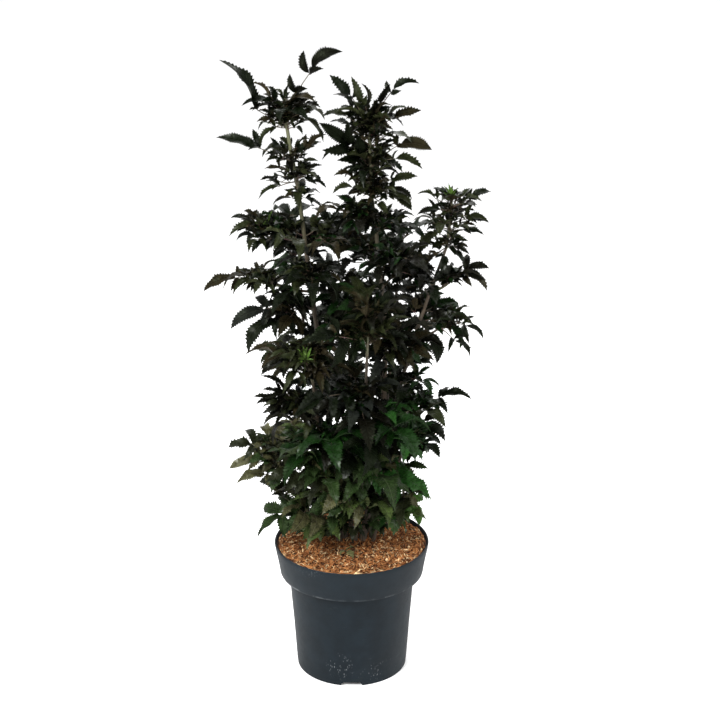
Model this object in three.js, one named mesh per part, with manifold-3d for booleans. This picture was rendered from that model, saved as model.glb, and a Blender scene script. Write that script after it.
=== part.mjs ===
// A black elder in a round nursery pot: the moulded pot, the fill of bark mulch, nine woody stems that
// spread from the middle of the pot, three side boughs, and the leafy shoots that grow from them.
// An elder leaf is a rachis with two pairs of leaflets and a longer one at its end. The leaves are fewer
// and larger than life, so that a few hundred leaflets fill the crown.
// Millimetres, +Z up. The origin is the middle of the pot's underside, and +X is to the right as seen
// from the front, which is -Y. A side is an angle round +Z: 0 is right, 90 back, 180 left, 270 front.
// A slope or a rise is an angle above the level. Angles are in degrees.
import * as THREE from "three";
import { mergeVertices } from "three/addons/utils/BufferGeometryUtils.js";
import Module from "manifold-3d";

const wasm = await Module();
wasm.setup();

// Driving dimensions of the pot
const potHeight = 272;
const rimRadius = 155.5;
const collarFootRadius = 145;
const collarHeight = 66;
const bodyTopRadius = 127;
const baseRadius = 112;
const baseRounding = 12;
const wall = 2.6;
const collarLead = 3;
const collarShelf = 4;
const rimRounding = 2;
const floorLift = 7;
const floorThickness = 3;
const footRingWidth = 12;
const centrePadRadius = 34;
const recessLead = 4;
const notchWidth = 36;
const notchHeight = 6.5;
const notchCount = 4;
const drainCount = 4;
const drainRadius = 7;
const drainCircle = 70;
const drainSides = 8;
const potSides = 36;

// Driving dimensions of the fill
const soilTop = 259;
const soilCrown = 6;
const soilFall = 2;
const soilFlat = 93;
const soilGap = 0.5;

// The gap between neighbouring solids, and how far a joined solid's surface may be evened out
const clear = 0.3;
const seatStart = 1.5;
const seatSlides = 6;
const seatReach = 40;
const tidyShape = 0.02;

// Driving dimensions of the limbs
const stemSides = 7;
const stemSteps = 6;
const boughSteps = 3;
const stemFlare = 0.35;
const stemFlareFall = 22;
const boughSides = 6;
const boughArch = -0.05;
const boughTaper = 0.85;
const shootSides = 4;
const shootRadius = 2.8;
const shootArch = -0.06;
const shootStep = 40;
const shootTaper = 0.75;
const lastLeaf = 0.96;

// Driving dimensions of a leaf, as shares of its whole length where nothing else is said
const leafArch = 0.12;
const leafTurn = 44;
const leafRoll = 22;
const rachisShare = 0.48;
const rachisRadius = 1.6;
const lateralStations = [0.42, 0.9];
const lateralShares = [0.42, 0.46];
const lateralSplay = 64;
const lateralLift = -14;
const splaySpread = 8;
const liftSpread = 14;
const reachSpread = 0.12;
const bladeWidth = 0.5;
const bladeWidest = 0.38;
const bladeArch = 0.07;
const bladeThickness = 2.2;
const lateralSunk = 0.5;
const endSunk = 1;
const smallLeaf = 100;
const youngLaterals = 0.8;
const youngWidth = 0.95;
const leafClear = 0.5;

// Driving dimensions of a shoot's fan of leaves, and of its turned pairs
const fanSpread = 48;
const fanRise = 12;
const fanDroop = 14;
const fanBack = 0.4;
const fanShorter = 0.1;
const fanSideSpread = 12;
const pairStart = 0.4;
const pairRise = 8;
const pairLift = 24;
const pairShorter = 0.18;
const pairSideSpread = 14;
const riseSpread = 9;

const degree = Math.PI / 180;
const up = new THREE.Vector3(0, 0, 1);

// The woody stems. foot and tip are places, bow is how far the middle swings out of the straight line.
const stems = {
  stem_left: { foot: [-14, 4], tip: [-100, 0, 1003], bow: [0, 10], footRadius: 7.5, tipRadius: 4.3 },
  stem_middle: { foot: [20, -4], tip: [39, 0, 975], bow: [35, -8], footRadius: 8, tipRadius: 4.3 },
  stem_right: { foot: [40, 9], tip: [180, 0, 880], bow: [-20, 10], footRadius: 7, tipRadius: 3.2 },
  stem_front_left: { foot: [-26, -22], tip: [-72, -88, 640], bow: [-6, 0], footRadius: 6, tipRadius: 3 },
  stem_front_middle: { foot: [6, -30], tip: [30, -104, 700], bow: [4, 10], footRadius: 6, tipRadius: 3 },
  stem_front_right: { foot: [44, -24], tip: [104, -64, 500], bow: [-4, 6], footRadius: 5, tipRadius: 3 },
  stem_back_left: { foot: [-32, 30], tip: [-104, 104, 760], bow: [0, 8], footRadius: 6.5, tipRadius: 3 },
  stem_back_middle: { foot: [-2, 40], tip: [-8, 150, 690], bow: [4, 6], footRadius: 6, tipRadius: 3 },
  stem_back_right: { foot: [34, 36], tip: [92, 128, 790], bow: [6, 0], footRadius: 6.5, tipRadius: 3 },
};

// The side boughs. Each leaves its stem at a height, towards a side, at a slope.
const boughs = {
  bough_left: { on: "stem_left", height: 790, side: 186, slope: 14, long: 56, radius: 3.2 },
  bough_right: { on: "stem_right", height: 690, side: 350, slope: 30, long: 48, radius: 3.2 },
  bough_low_left: { on: "stem_front_left", height: 386, side: 186, slope: 30, long: 80, radius: 3 },
};

// The leafy shoots. A shoot carries on from a limb's tip, or leaves a limb at a height. A shoot with
// turn is upright, and its leaves stand in pairs that turn by quarters, from that side. Any other has
// a fan of leaves round its own side. leaf is the length of the longest leaf. Where leaves is a list, it
// gives each leaf's share of the way along the shoot, its side, its rise and its length.
const shoots = {
  left_top: {
    young: true, tip: "stem_left", side: 180, slope: 81, long: 134, radius: 4.1,
    leaves: [
      [0.04, 334, 20, 84], [0.04, 196, -24, 82], [0.08, 263, -16, 92], [0.38, 180, 16, 147],
      [0.38, 28, 38, 84], [0.88, 216, -19, 70], [0.88, 311, -19, 86], [0.92, 100, 16, 100],
      [0.9, 168, 12, 70], [1, 181, 41, 152, -0.1], [1, 0, 48, 155, 0.12], [1, 62, 69, 64],
    ],
  },
  middle_top: {
    young: true, tip: "stem_middle", side: 180, slope: 88, long: 136, radius: 4.1,
    leaves: [
      [0.06, 197, 8, 108], [0.28, 90, 22, 118], [0.3, 331, 17, 108], [0.48, 0, 19, 118],
      [0.54, 182, 30, 113], [0.5, 262, -12, 98], [0.9, 337, 4, 80],
      [0.92, 6, 25, 108], [0.92, 165, 24, 84], [1, 180, 54, 118, 0.14], [1, 0, 47, 126, 0.12],
      [1, 254, 80, 76],
    ],
  },
  right_top: {
    young: true, tip: "stem_right", side: 0, slope: 84, long: 90, radius: 3.1,
    leaves: [
      [0.1, 218, 12, 76], [0.1, 306, 12, 76], [0.16, 80, 4, 112], [0.5, 162, 4, 74],
      [0.5, 344, 13, 80], [0.56, 254, -4, 86], [1, 162, 12, 76], [1, 0, 22, 80],
      [1, 81, 74, 56], [0.9, 303, 14, 80],
    ],
  },
  front_left_top: {
    tip: "stem_front_left", side: 200, slope: 78, long: 66,
    leaves: [[0.4, 188, 0, 140], [0.4, 352, 4, 140], [1, 264, 14, 132]],
  },
  front_middle_top: {
    tip: "stem_front_middle", side: 280, slope: 82, long: 70, turn: 214, pairs: 2, leaf: 148, rise: 2,
  },
  front_right_top: {
    tip: "stem_front_right", side: 340, slope: 60, long: 20,
    leaves: [[0.5, 24, 9, 82], [1, 316, -12, 78], [0.9, 262, -2, 104]],
  },
  back_left_top: { tip: "stem_back_left", side: 130, slope: 80, long: 76, turn: 140, pairs: 2, leaf: 158 },
  back_middle_top: { tip: "stem_back_middle", side: 90, slope: 80, long: 66, turn: 60, pairs: 2, leaf: 160 },
  back_right_top: { tip: "stem_back_right", side: 40, slope: 80, long: 76, turn: 10, pairs: 2, leaf: 158 },

  left_a: {
    on: "stem_left", height: 892, side: 183, slope: 14, long: 70,
    leaves: [[0.3, 193, 6, 120], [1, 168, 22, 92], [1, 236, -24, 84], [0.2, 250, 3, 108]],
  },
  left_b: {
    on: "stem_left", height: 880, side: 350, slope: 30, long: 32,
    leaves: [[0.6, 61, 16, 104], [0.8, 290, -8, 108]],
  },
  left_c: { on: "stem_left", height: 866, side: 96, slope: 30, long: 34, leaves: 2, leaf: 150 },
  left_d: { on: "stem_left", height: 816, side: 276, slope: 30, long: 28, leaves: 3, leaf: 142, rise: -4 },
  left_e: {
    on: "stem_left", height: 752, side: 178, slope: 30, long: 32,
    leaves: [[0.4, 156, -20, 140], [0.5, 222, -24, 128], [1, 190, -18, 138]],
  },
  left_f: {
    on: "stem_left", height: 716, side: 330, slope: 30, long: 30,
    leaves: [[0.7, 300, -4, 150], [1, 14, 0, 150]],
  },
  left_g: {
    on: "stem_left", height: 640, side: 190, slope: 30, long: 30,
    leaves: [[0.4, 142, -16, 122], [1, 190, -14, 112], [0.4, 240, -20, 124]],
  },
  left_outer: {
    tip: "bough_left", side: 180, slope: 8, long: 28,
    leaves: [[0.4, 135, 4, 120], [0, 200, -24, 98], [0.6, 250, 3, 98], [1, 181, 1, 120]],
  },

  middle_a: { on: "stem_middle", height: 930, side: 200, slope: 30, long: 28, leaves: 3, leaf: 106 },
  middle_b: { on: "stem_middle", height: 912, side: 330, slope: 30, long: 26, leaves: 3, leaf: 106 },
  middle_c: { on: "stem_middle", height: 850, side: 320, slope: 26, long: 34, leaves: 3, leaf: 138, rise: 4 },
  middle_d: { on: "stem_middle", height: 836, side: 120, slope: 30, long: 34, leaves: 2, leaf: 148 },
  middle_e: {
    on: "stem_middle", height: 742, side: 220, slope: 34, long: 30,
    leaves: [[0.6, 170, 4, 130], [1, 236, 16, 124]],
  },
  middle_f: {
    on: "stem_middle", height: 672, side: 300, slope: 34, long: 30,
    leaves: [[0.6, 246, -22, 140], [1, 316, 0, 118], [0.6, 10, 0, 98]],
  },

  right_a: {
    on: "stem_right", height: 790, side: 4, slope: 26, long: 34,
    leaves: [[0.4, 286, 10, 112], [0.3, 330, 0, 112], [1, 358, 26, 80]],
  },
  right_b: { on: "stem_right", height: 806, side: 200, slope: 26, long: 34, leaves: 2, leaf: 148 },
  right_c: { on: "stem_right", height: 720, side: 80, slope: 30, long: 34, leaves: 2, leaf: 158 },
  right_d: {
    on: "stem_right", height: 600, side: 320, slope: 30, long: 34,
    leaves: [[0.5, 256, -6, 126], [1, 290, 10, 108], [0.8, 334, 26, 84]],
  },
  right_e: {
    on: "stem_right", height: 530, side: 0, slope: 28, long: 40,
    leaves: [[0.5, 48, 8, 98], [0.9, 306, -3, 108], [1, 343, 16, 120]],
  },
  right_outer: {
    tip: "bough_right", side: 350, slope: 24, long: 22,
    leaves: [[0.2, 36, 22, 80], [0.3, 318, -32, 84], [0.8, 276, 14, 104], [1, 343, -20, 70]],
  },

  front_left_a: {
    on: "stem_front_left", height: 560, side: 190, slope: 30, long: 34,
    leaves: [[0.5, 241, -8, 124], [0.9, 203, 20, 86], [1, 160, -20, 70]],
  },
  front_left_b: {
    on: "stem_front_left", height: 520, side: 290, slope: 30, long: 30, leaves: 3, leaf: 152, rise: -14,
  },
  front_left_c: {
    on: "stem_front_left", height: 440, side: 234, slope: 30, long: 34,
    leaves: [[0.5, 200, -7, 108], [1, 240, 24, 140], [0.6, 288, -8, 126]],
  },
  low_left_outer: {
    tip: "bough_low_left", side: 186, slope: 60, long: 60,
    leaves: [[0.06, 206, -2, 106], [0.5, 188, 4, 110], [1, 179, 6, 98], [0.96, 110, 20, 92]],
  },
  front_middle_a: {
    on: "stem_front_middle", height: 600, side: 226, slope: 32, long: 30, leaves: 3, leaf: 150, rise: -10,
  },
  front_middle_b: {
    on: "stem_front_middle", height: 550, side: 312, slope: 30, long: 30, leaves: 3, leaf: 148, rise: -10,
  },
  front_middle_c: {
    on: "stem_front_middle", height: 450, side: 284, slope: 30, long: 26, leaves: 3, leaf: 156, rise: -14,
  },
  front_right_a: {
    on: "stem_front_right", height: 400, side: 330, slope: 30, long: 36,
    leaves: [[0.6, 354, -2, 70], [0.9, 315, -31, 76], [1, 268, -24, 112]],
  },
  back_left_a: {
    on: "stem_back_left", height: 590, side: 150, slope: 30, long: 34,
    leaves: [[0.5, 176, -7, 92], [1, 138, 12, 130], [0.2, 86, -12, 150]],
  },
  back_left_b: {
    on: "stem_back_left", height: 430, side: 160, slope: 30, long: 40,
    leaves: [[0.6, 134, 0, 134], [0.8, 215, -12, 122]],
  },
  back_middle_a: { on: "stem_back_middle", height: 510, side: 96, slope: 32, long: 34, leaves: 3, leaf: 150 },
  back_right_a: {
    on: "stem_back_right", height: 620, side: 44, slope: 30, long: 34,
    leaves: [[0.5, 0, 3, 106], [1, 42, 20, 130], [0.6, 84, -12, 140]],
  },
  back_right_b: {
    on: "stem_back_right", height: 440, side: 46, slope: 30, long: 44,
    leaves: [[0.6, 358, -2, 100], [0.6, 80, -8, 134]],
  },
  foot_left: {
    on: "stem_left", height: 330, side: 196, slope: 24, long: 80,
    leaves: [[0.5, 244, 0, 138], [1, 200, -33, 116]],
  },
  foot_front: { on: "stem_front_middle", height: 360, side: 250, slope: 34, long: 30, leaves: 3, leaf: 138 },
  foot_right: {
    on: "stem_front_right", height: 320, side: 310, slope: 32, long: 34,
    leaves: [[0.6, 276, 10, 104], [0.8, 344, 6, 78]],
  },
  foot_back: { on: "stem_back_middle", height: 350, side: 60, slope: 34, long: 40, leaves: 2, leaf: 140 },
};

// A small generator of repeatable chance, so that the same shrub grows each time.
class Chance {
  constructor(seed) {
    this.state = seed;
    this.next();
  }
  next() {
    this.state = (this.state * 1664525 + 1013904223) % 4294967296;
    return this.state / 4294967296;
  }
  spread(amount) {
    return (this.next() * 2 - 1) * amount;
  }
}

// Turns a closed three.js geometry into a solid that can be joined and cut.
function solidOf(geometry) {
  const bare = geometry.clone();
  bare.deleteAttribute("normal");
  bare.deleteAttribute("uv");
  const merged = mergeVertices(bare, 1e-4);
  return new wasm.Manifold(
    new wasm.Mesh({
      numProp: 3,
      vertProperties: new Float32Array(merged.attributes.position.array),
      triVerts: new Uint32Array(merged.index.array),
    }),
  );
}

// Turns a solid back into a geometry for a mesh.
function geometryOf(solid) {
  const mesh = solid.getMesh();
  const geometry = new THREE.BufferGeometry();
  geometry.setAttribute("position", new THREE.BufferAttribute(mesh.vertProperties.slice(), 3));
  geometry.setIndex(new THREE.BufferAttribute(mesh.triVerts.slice(), 1));
  geometry.computeVertexNormals();
  return geometry;
}

const alongSide = (side) => new THREE.Vector3(Math.cos(side * degree), Math.sin(side * degree), 0);

// The direction towards a side, at a slope above the level.
function heading(side, slope) {
  const level = alongSide(side).multiplyScalar(Math.cos(slope * degree));
  return level.addScaledVector(up, Math.sin(slope * degree));
}

// A limb is a path of points with a radius at each. A stem runs from the fill to its tip.
function stemPath(stem) {
  const foot = new THREE.Vector3(stem.foot[0], stem.foot[1], soilTop + soilCrown + clear);
  const tip = new THREE.Vector3(...stem.tip);
  const path = { points: [], radii: [], across: alongSide(90) };
  for (let i = 0; i <= stemSteps; i++) {
    const t = i / stemSteps;
    const swing = Math.sin(Math.PI * t);
    const flare = 1 + stemFlare * Math.exp(-t * stemFlareFall);
    const point = foot.clone().lerp(tip, t);
    path.points.push(point.add(new THREE.Vector3(stem.bow[0] * swing, stem.bow[1] * swing, 0)));
    path.radii.push((stem.footRadius + (stem.tipRadius - stem.footRadius) * t) * flare);
  }
  return path;
}

// A path whose ends lie on a straight line towards a side, and whose middle stands off it by arch.
function archedPath(start, side, slope, long, arch, radius, endRadius, steps) {
  const path = { points: [], radii: [], across: alongSide(side + 90) };
  for (let i = 0; i <= steps; i++) {
    const t = i / steps;
    const point = start.clone().addScaledVector(heading(side, slope), long * t);
    path.points.push(point.addScaledVector(up, 4 * t * (1 - t) * arch * long));
    path.radii.push(radius + (endRadius - radius) * t);
  }
  return path;
}

// The place, direction and radius on a path at a share of its length.
function placeOn(path, share) {
  const last = path.points.length - 1;
  const at = Math.min(Math.max(share, 0), 1) * last;
  const i = Math.min(Math.floor(at), last - 1);
  const along = at - i;
  return {
    point: path.points[i].clone().lerp(path.points[i + 1], along),
    direction: path.points[i + 1].clone().sub(path.points[i]).normalize(),
    radius: path.radii[i] + (path.radii[i + 1] - path.radii[i]) * along,
  };
}

// The share of an upward path at which it reaches a height.
function shareAtHeight(path, height) {
  const { points } = path;
  let i = 0;
  while (i < points.length - 2 && points[i + 1].z < height) i++;
  return (i + (height - points[i].z) / (points[i + 1].z - points[i].z)) / (points.length - 1);
}

// A tapering limb: a cylinder whose rings are moved on to the path.
function limbSolid(path, sides, flatFoot = false) {
  const steps = path.points.length - 1;
  const geometry = new THREE.CylinderGeometry(1, 1, 1, sides, steps);
  const place = geometry.attributes.position;
  for (let i = 0; i < place.count; i++) {
    const ring = Math.round((place.getY(i) + 0.5) * steps);
    const before = path.points[Math.max(ring - 1, 0)];
    const after = path.points[Math.min(ring + 1, steps)];
    const forward = flatFoot && ring === 0 ? up.clone() : after.clone().sub(before).normalize();
    const upright = new THREE.Vector3().crossVectors(forward, path.across).normalize();
    const sideways = new THREE.Vector3().crossVectors(forward, upright);
    const point = path.points[ring]
      .clone()
      .addScaledVector(sideways, place.getX(i) * path.radii[ring])
      .addScaledVector(upright, place.getZ(i) * path.radii[ring]);
    place.setXYZ(i, point.x, point.y, point.z);
  }
  return solidOf(geometry);
}

// A leaflet: a double pyramid of six faces, drawn out into a thin, arched blade with a ridge along its
// midrib. The sphere's poles become its base and its tip, and its girdle the ridge and the two margins.
function bladeSolid({ base, tip, normal, width, sunk }) {
  const along = tip.clone().sub(base);
  const long = along.length();
  along.normalize();
  const sideways = new THREE.Vector3().crossVectors(along, normal);
  const root = base.clone().addScaledVector(along, -sunk);
  const middle = base.clone().addScaledVector(along, long * bladeWidest);
  middle.addScaledVector(normal, long * bladeArch);
  const ridge = middle.clone().addScaledVector(normal, bladeThickness);
  const girdle = (z) => middle.clone().addScaledVector(sideways, (Math.sign(z) * long * width) / 2);
  const geometry = new THREE.SphereGeometry(1, 3, 2);
  const place = geometry.attributes.position;
  for (let i = 0; i < place.count; i++) {
    const height = Math.round(place.getY(i));
    const margin = place.getX(i) > 0 ? girdle(place.getZ(i)) : ridge;
    const corner = height > 0 ? tip : height < 0 ? root : margin;
    place.setXYZ(i, corner.x, corner.y, corner.z);
  }
  return solidOf(geometry);
}

// One leaf, from its base to its tip at a side, a rise and a length: its rachis and its leaflets. A flat
// leaf arches over, and a steep one curves up.
function growLeaf(base, [, side, rise, long, arch = leafArch * Math.cos(2 * rise * degree)], young, chance) {
  const across = alongSide(side + 90);
  const at = (t) =>
    base
      .clone()
      .addScaledVector(heading(side, rise), long * t)
      .addScaledVector(up, 4 * t * (1 - t) * arch * long);
  const end = at(rachisShare);
  const rachis = { points: [base, end], radii: [rachisRadius, rachisRadius], across };
  const forward = end.clone().sub(base).normalize();
  const roll = (leafTurn * Math.cos(side * degree) + chance.spread(leafRoll)) * degree;
  const rolledAcross = across.clone().applyAxisAngle(forward, roll);
  const upright = new THREE.Vector3().crossVectors(forward, rolledAcross);
  const reach = long * (young ? youngLaterals : 1);
  const width = bladeWidth * (young ? youngWidth : 1);
  const leaflets = [];
  lateralStations.forEach((station, k) => {
    if (k === 0 && long < smallLeaf) return;
    const point = base.clone().lerp(end, station);
    for (const hand of [1, -1]) {
      const splay = (lateralSplay + chance.spread(splaySpread)) * degree;
      const lift = (lateralLift + chance.spread(liftSpread)) * degree;
      const outward = rolledAcross.clone().multiplyScalar(hand * Math.cos(lift));
      outward.addScaledVector(upright, Math.sin(lift));
      const along = forward.clone().multiplyScalar(Math.cos(splay)).addScaledVector(outward, Math.sin(splay));
      const own = reach * lateralShares[k] * (1 + chance.spread(reachSpread));
      const tip = point.clone().addScaledVector(along, own);
      const normal = upright.clone().addScaledVector(along, -upright.dot(along)).normalize();
      leaflets.push({ base: point, tip, normal, width, sunk: lateralSunk });
    }
  });
  const normal = new THREE.Vector3().crossVectors(at(1).sub(end).normalize(), rolledAcross).normalize();
  leaflets.push({ base: end, tip: at(1), normal, width, sunk: endSunk });
  return { rachis, leaflets };
}

// All the leaves of a shoot: its own list, turned pairs, or a fan.
function leafPlan(shoot, chance) {
  if (Array.isArray(shoot.leaves)) return shoot.leaves;
  const plan = [];
  if (shoot.pairs) {
    for (let k = 0; k < shoot.pairs; k++) {
      const young = k / (shoot.pairs - 1);
      for (const opposite of [0, 180]) {
        const side = shoot.turn + 90 * k + opposite + chance.spread(pairSideSpread);
        const rise = (shoot.rise ?? pairRise) + pairLift * young + chance.spread(riseSpread);
        plan.push([pairStart + (1 - pairStart) * young, side, rise, shoot.leaf * (1 - pairShorter * young)]);
      }
    }
    return plan;
  }
  for (let k = 0; k < shoot.leaves; k++) {
    const out = (2 * k) / (shoot.leaves - 1) - 1;
    const outer = Math.abs(out);
    const side = shoot.side + out * fanSpread + chance.spread(fanSideSpread);
    const rise = (shoot.rise ?? fanRise) - fanDroop * outer + chance.spread(riseSpread);
    plan.push([1 - fanBack * outer, side, rise, shoot.leaf * (1 - fanShorter * outer)]);
  }
  return plan;
}

// What has been placed so far, so that each shoot keeps to the space that is free.
const placed = [];
function remember(solid, kin) {
  placed.push({ solid, kin, box: solid.boundingBox() });
}
function isFree(solid, kin) {
  const box = solid.boundingBox();
  return placed.every((other) => {
    if (kin && other.kin === kin) return true;
    for (let axis = 0; axis < 3; axis++) {
      if (box.min[axis] > other.box.max[axis] + leafClear) return true;
      if (other.box.min[axis] > box.max[axis] + leafClear) return true;
    }
    return solid.minGap(other.solid, leafClear * 2) >= leafClear;
  });
}

// A shoot with its leaves, joined into one solid.
function shootSolid(shoot, path, chance) {
  const stalk = limbSolid(path, shootSides);
  const pieces = [stalk];
  remember(stalk, stalk);
  for (const plan of leafPlan(shoot, chance)) {
    const leaf = growLeaf(placeOn(path, plan[0] * lastLeaf).point, plan, shoot.young, chance);
    const rachis = limbSolid(leaf.rachis, 3);
    if (!isFree(rachis, stalk)) continue;
    const blades = leaf.leaflets.map(bladeSolid).filter((blade) => isFree(blade));
    if (!blades.length) continue;
    pieces.push(rachis, ...blades);
    remember(rachis, stalk);
    blades.forEach((blade) => remember(blade));
  }
  const bodies = wasm.Manifold.union(pieces).simplify(tidyShape).decompose();
  return bodies.reduce((most, body) => (body.volume() > most.volume() ? body : most));
}

// Turns a list of radii and heights into a solid of revolution about +Z.
function turnedSolid(outline) {
  const lathe = new THREE.LatheGeometry(outline.map(([r, z]) => new THREE.Vector2(r, z)), potSides);
  return solidOf(lathe.rotateX(Math.PI / 2));
}

// The pot: a moulded shell with a deep collar, a rounded rim and a lifted floor with drain holes. Its
// underside rests on a ring and on a pad in the middle.
function potSolid() {
  const collarFoot = potHeight - collarHeight;
  const innerRim = rimRadius - rimRounding - wall;
  const shell = turnedSolid([
    [0, 0], [centrePadRadius, 0], [centrePadRadius + recessLead, floorLift],
    [baseRadius - footRingWidth - recessLead, floorLift], [baseRadius - footRingWidth, 0],
    [baseRadius - baseRounding * 0.6, 0], [baseRadius - baseRounding * 0.1, baseRounding * 0.45],
    [baseRadius + 1, baseRounding], [bodyTopRadius, collarFoot], [collarFootRadius - collarLead, collarFoot],
    [collarFootRadius, collarFoot + collarLead], [rimRadius, potHeight - rimRounding],
    [rimRadius - rimRounding, potHeight], [innerRim, potHeight - rimRounding / 2],
    [collarFootRadius - wall, collarFoot + wall + collarShelf], [bodyTopRadius - wall, collarFoot + wall],
    [baseRadius - wall, floorLift + floorThickness], [0, floorLift + floorThickness],
  ]);
  const cutters = [];
  for (let i = 0; i < notchCount; i++) {
    const notch = new THREE.BoxGeometry(notchWidth, footRingWidth * 4, notchHeight * 2);
    notch.translate(0, -baseRadius, 0);
    cutters.push(solidOf(notch.rotateZ((i * 2 * Math.PI) / notchCount)));
  }
  for (let i = 0; i < drainCount; i++) {
    const drain = new THREE.CylinderGeometry(drainRadius, drainRadius, 4 * floorThickness, drainSides);
    drain.rotateX(Math.PI / 2).translate(0, drainCircle, floorLift + floorThickness / 2);
    cutters.push(solidOf(drain.rotateZ(((i + 0.5) * 2 * Math.PI) / drainCount)));
  }
  return shell.subtract(wasm.Manifold.union(cutters));
}

// The fill: it follows the pot's inner wall at a small gap, and its top is slightly domed.
function soilSolid() {
  const collarFoot = potHeight - collarHeight;
  const shelf = collarFoot + wall + collarShelf;
  const share = (soilTop - soilFall - shelf) / (potHeight - rimRounding / 2 - shelf);
  const edge = THREE.MathUtils.lerp(collarFootRadius, rimRadius - rimRounding, share) - wall - soilGap;
  return turnedSolid([
    [0, floorLift + floorThickness + soilGap],
    [baseRadius - wall - soilGap, floorLift + floorThickness + soilGap],
    [bodyTopRadius - wall - soilGap, collarFoot + wall + soilGap],
    [collarFootRadius - wall - soilGap, shelf + soilGap], [edge, soilTop - soilFall],
    [soilFlat, soilTop + soilCrown], [0, soilTop + soilCrown],
  ]);
}

// Finishes, with colours as seen in daylight.
const finish = {
  pot: { color: 0x3c454c, roughness: 0.55, metalness: 0 },
  soil: { color: 0x7b4f30, roughness: 0.95, metalness: 0 },
  bark: { color: 0x6b5f4a, roughness: 0.85, metalness: 0 },
  darkLeaf: { color: 0x1e1d1a, roughness: 0.6, metalness: 0 },
  greenLeaf: { color: 0x1f3a1c, roughness: 0.55, metalness: 0 },
};

const shrub = new THREE.Group();
function addMesh(name, solid, look) {
  const mesh = new THREE.Mesh(geometryOf(solid), new THREE.MeshStandardMaterial(finish[look]));
  mesh.name = name;
  shrub.add(mesh);
}

// A pot, fill or limb is in the way of the leaves that grow after it.
function addFirm(name, solid, look) {
  remember(solid);
  addMesh(name, solid, look);
}
addFirm("pot", potSolid(), "pot");
addFirm("soil", soilSolid(), "soil");

const limbs = {};
function addLimb(name, path, sides, flatFoot) {
  const solid = limbSolid(path, sides, flatFoot);
  limbs[name] = { path, solid };
  addFirm(name, solid, "bark");
}
for (const [name, stem] of Object.entries(stems)) addLimb(name, stemPath(stem), stemSides, true);

// The path of a bough or a shoot. It starts well off its limb, and slides back along its own line until
// it stands just clear.
function carriedPath(part, radius, endRadius, arch, steps, sides) {
  const carrier = limbs[part.tip ?? part.on];
  const place = placeOn(carrier.path, part.tip ? 1 : shareAtHeight(carrier.path, part.height));
  const away = part.tip ? place.direction : heading(part.side, part.slope);
  const start = place.point.addScaledVector(away, seatStart * (place.radius + radius));
  const path = archedPath(start, part.side, part.slope, part.long, arch, radius, endRadius, steps);
  const along = path.points[1].clone().sub(path.points[0]).normalize();
  for (let slide = 0; slide < seatSlides; slide++) {
    const gap = limbSolid(path, sides).minGap(carrier.solid, seatReach);
    path.points.forEach((point) => point.addScaledVector(along, clear - gap));
  }
  return path;
}
for (const [name, bough] of Object.entries(boughs)) {
  const { radius } = bough;
  const path = carriedPath(bough, radius, radius * boughTaper, boughArch, boughSteps, boughSides);
  addLimb(name, path, boughSides);
}

const greenBelow = 470;
let seed = 11;
for (const [name, shoot] of Object.entries(shoots)) {
  const { long, radius = shootRadius } = shoot;
  const steps = Math.max(1, Math.round(long / shootStep));
  const path = carriedPath(shoot, radius, radius * shootTaper, shootArch, steps, shootSides);
  const solid = shootSolid(shoot, path, new Chance(seed));
  seed += 17;
  addMesh(`foliage_${name}`, solid, path.points[0].z < greenBelow ? "greenLeaf" : "darkLeaf");
}

export default shrub;
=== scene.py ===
# A black elder in a nursery pot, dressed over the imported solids: a moulded pot, loose bark mulch, woody
# stems with their bark, and leafy shoots that grow by the same rule as the solids, carried on to small
# side sprigs. Lengths in the tables are millimetres, everything in the scene is metres. The front is -Y.
import math
import bmesh
import bpy
import numpy as np
from mathutils import Matrix, Vector, noise


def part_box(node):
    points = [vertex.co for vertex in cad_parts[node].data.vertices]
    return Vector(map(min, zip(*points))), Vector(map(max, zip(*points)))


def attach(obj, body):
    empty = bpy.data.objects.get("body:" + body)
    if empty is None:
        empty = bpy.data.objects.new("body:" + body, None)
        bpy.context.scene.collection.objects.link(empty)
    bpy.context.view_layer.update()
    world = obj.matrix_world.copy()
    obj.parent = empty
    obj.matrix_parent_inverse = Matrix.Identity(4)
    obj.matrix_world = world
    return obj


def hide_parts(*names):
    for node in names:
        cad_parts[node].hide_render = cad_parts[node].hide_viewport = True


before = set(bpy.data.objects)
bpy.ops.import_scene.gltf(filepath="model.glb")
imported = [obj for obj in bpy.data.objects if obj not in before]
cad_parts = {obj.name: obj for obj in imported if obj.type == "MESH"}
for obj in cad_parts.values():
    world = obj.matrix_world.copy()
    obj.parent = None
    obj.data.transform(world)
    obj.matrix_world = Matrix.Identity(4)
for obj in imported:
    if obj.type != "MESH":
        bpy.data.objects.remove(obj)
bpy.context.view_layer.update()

mm = 0.001
degree = math.pi / 180
upwards = np.array([0.0, 0.0, 1.0])


# Shader maths: a socket that can be added, multiplied and compared like a number
class Value:
    def __init__(self, finish, socket):
        self.finish, self.socket = finish, socket

    def math(self, operation, *others):
        inputs = dict(enumerate((self,) + others))
        return self.finish.node("ShaderNodeMath", {"operation": operation}, inputs)

    __add__ = __radd__ = lambda self, other: self.math("ADD", other)
    __mul__ = __rmul__ = lambda self, other: self.math("MULTIPLY", other)
    __sub__ = lambda self, other: self.math("SUBTRACT", other)
    __rsub__ = lambda self, other: self * -1 + other
    power = lambda self, other: self.math("POWER", other)
    absolute = lambda self: self.math("ABSOLUTE")
    fraction = lambda self: self.math("FRACT")
    clamped = lambda self: self.math("MAXIMUM", 0.0).math("MINIMUM", 1.0)

    # 0 below low, 1 above high, smooth between
    def step(self, low, high):
        inputs = {"Value": self, "From Min": low, "From Max": high}
        return self.finish.node("ShaderNodeMapRange", {"interpolation_type": "SMOOTHSTEP"}, inputs)


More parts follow.
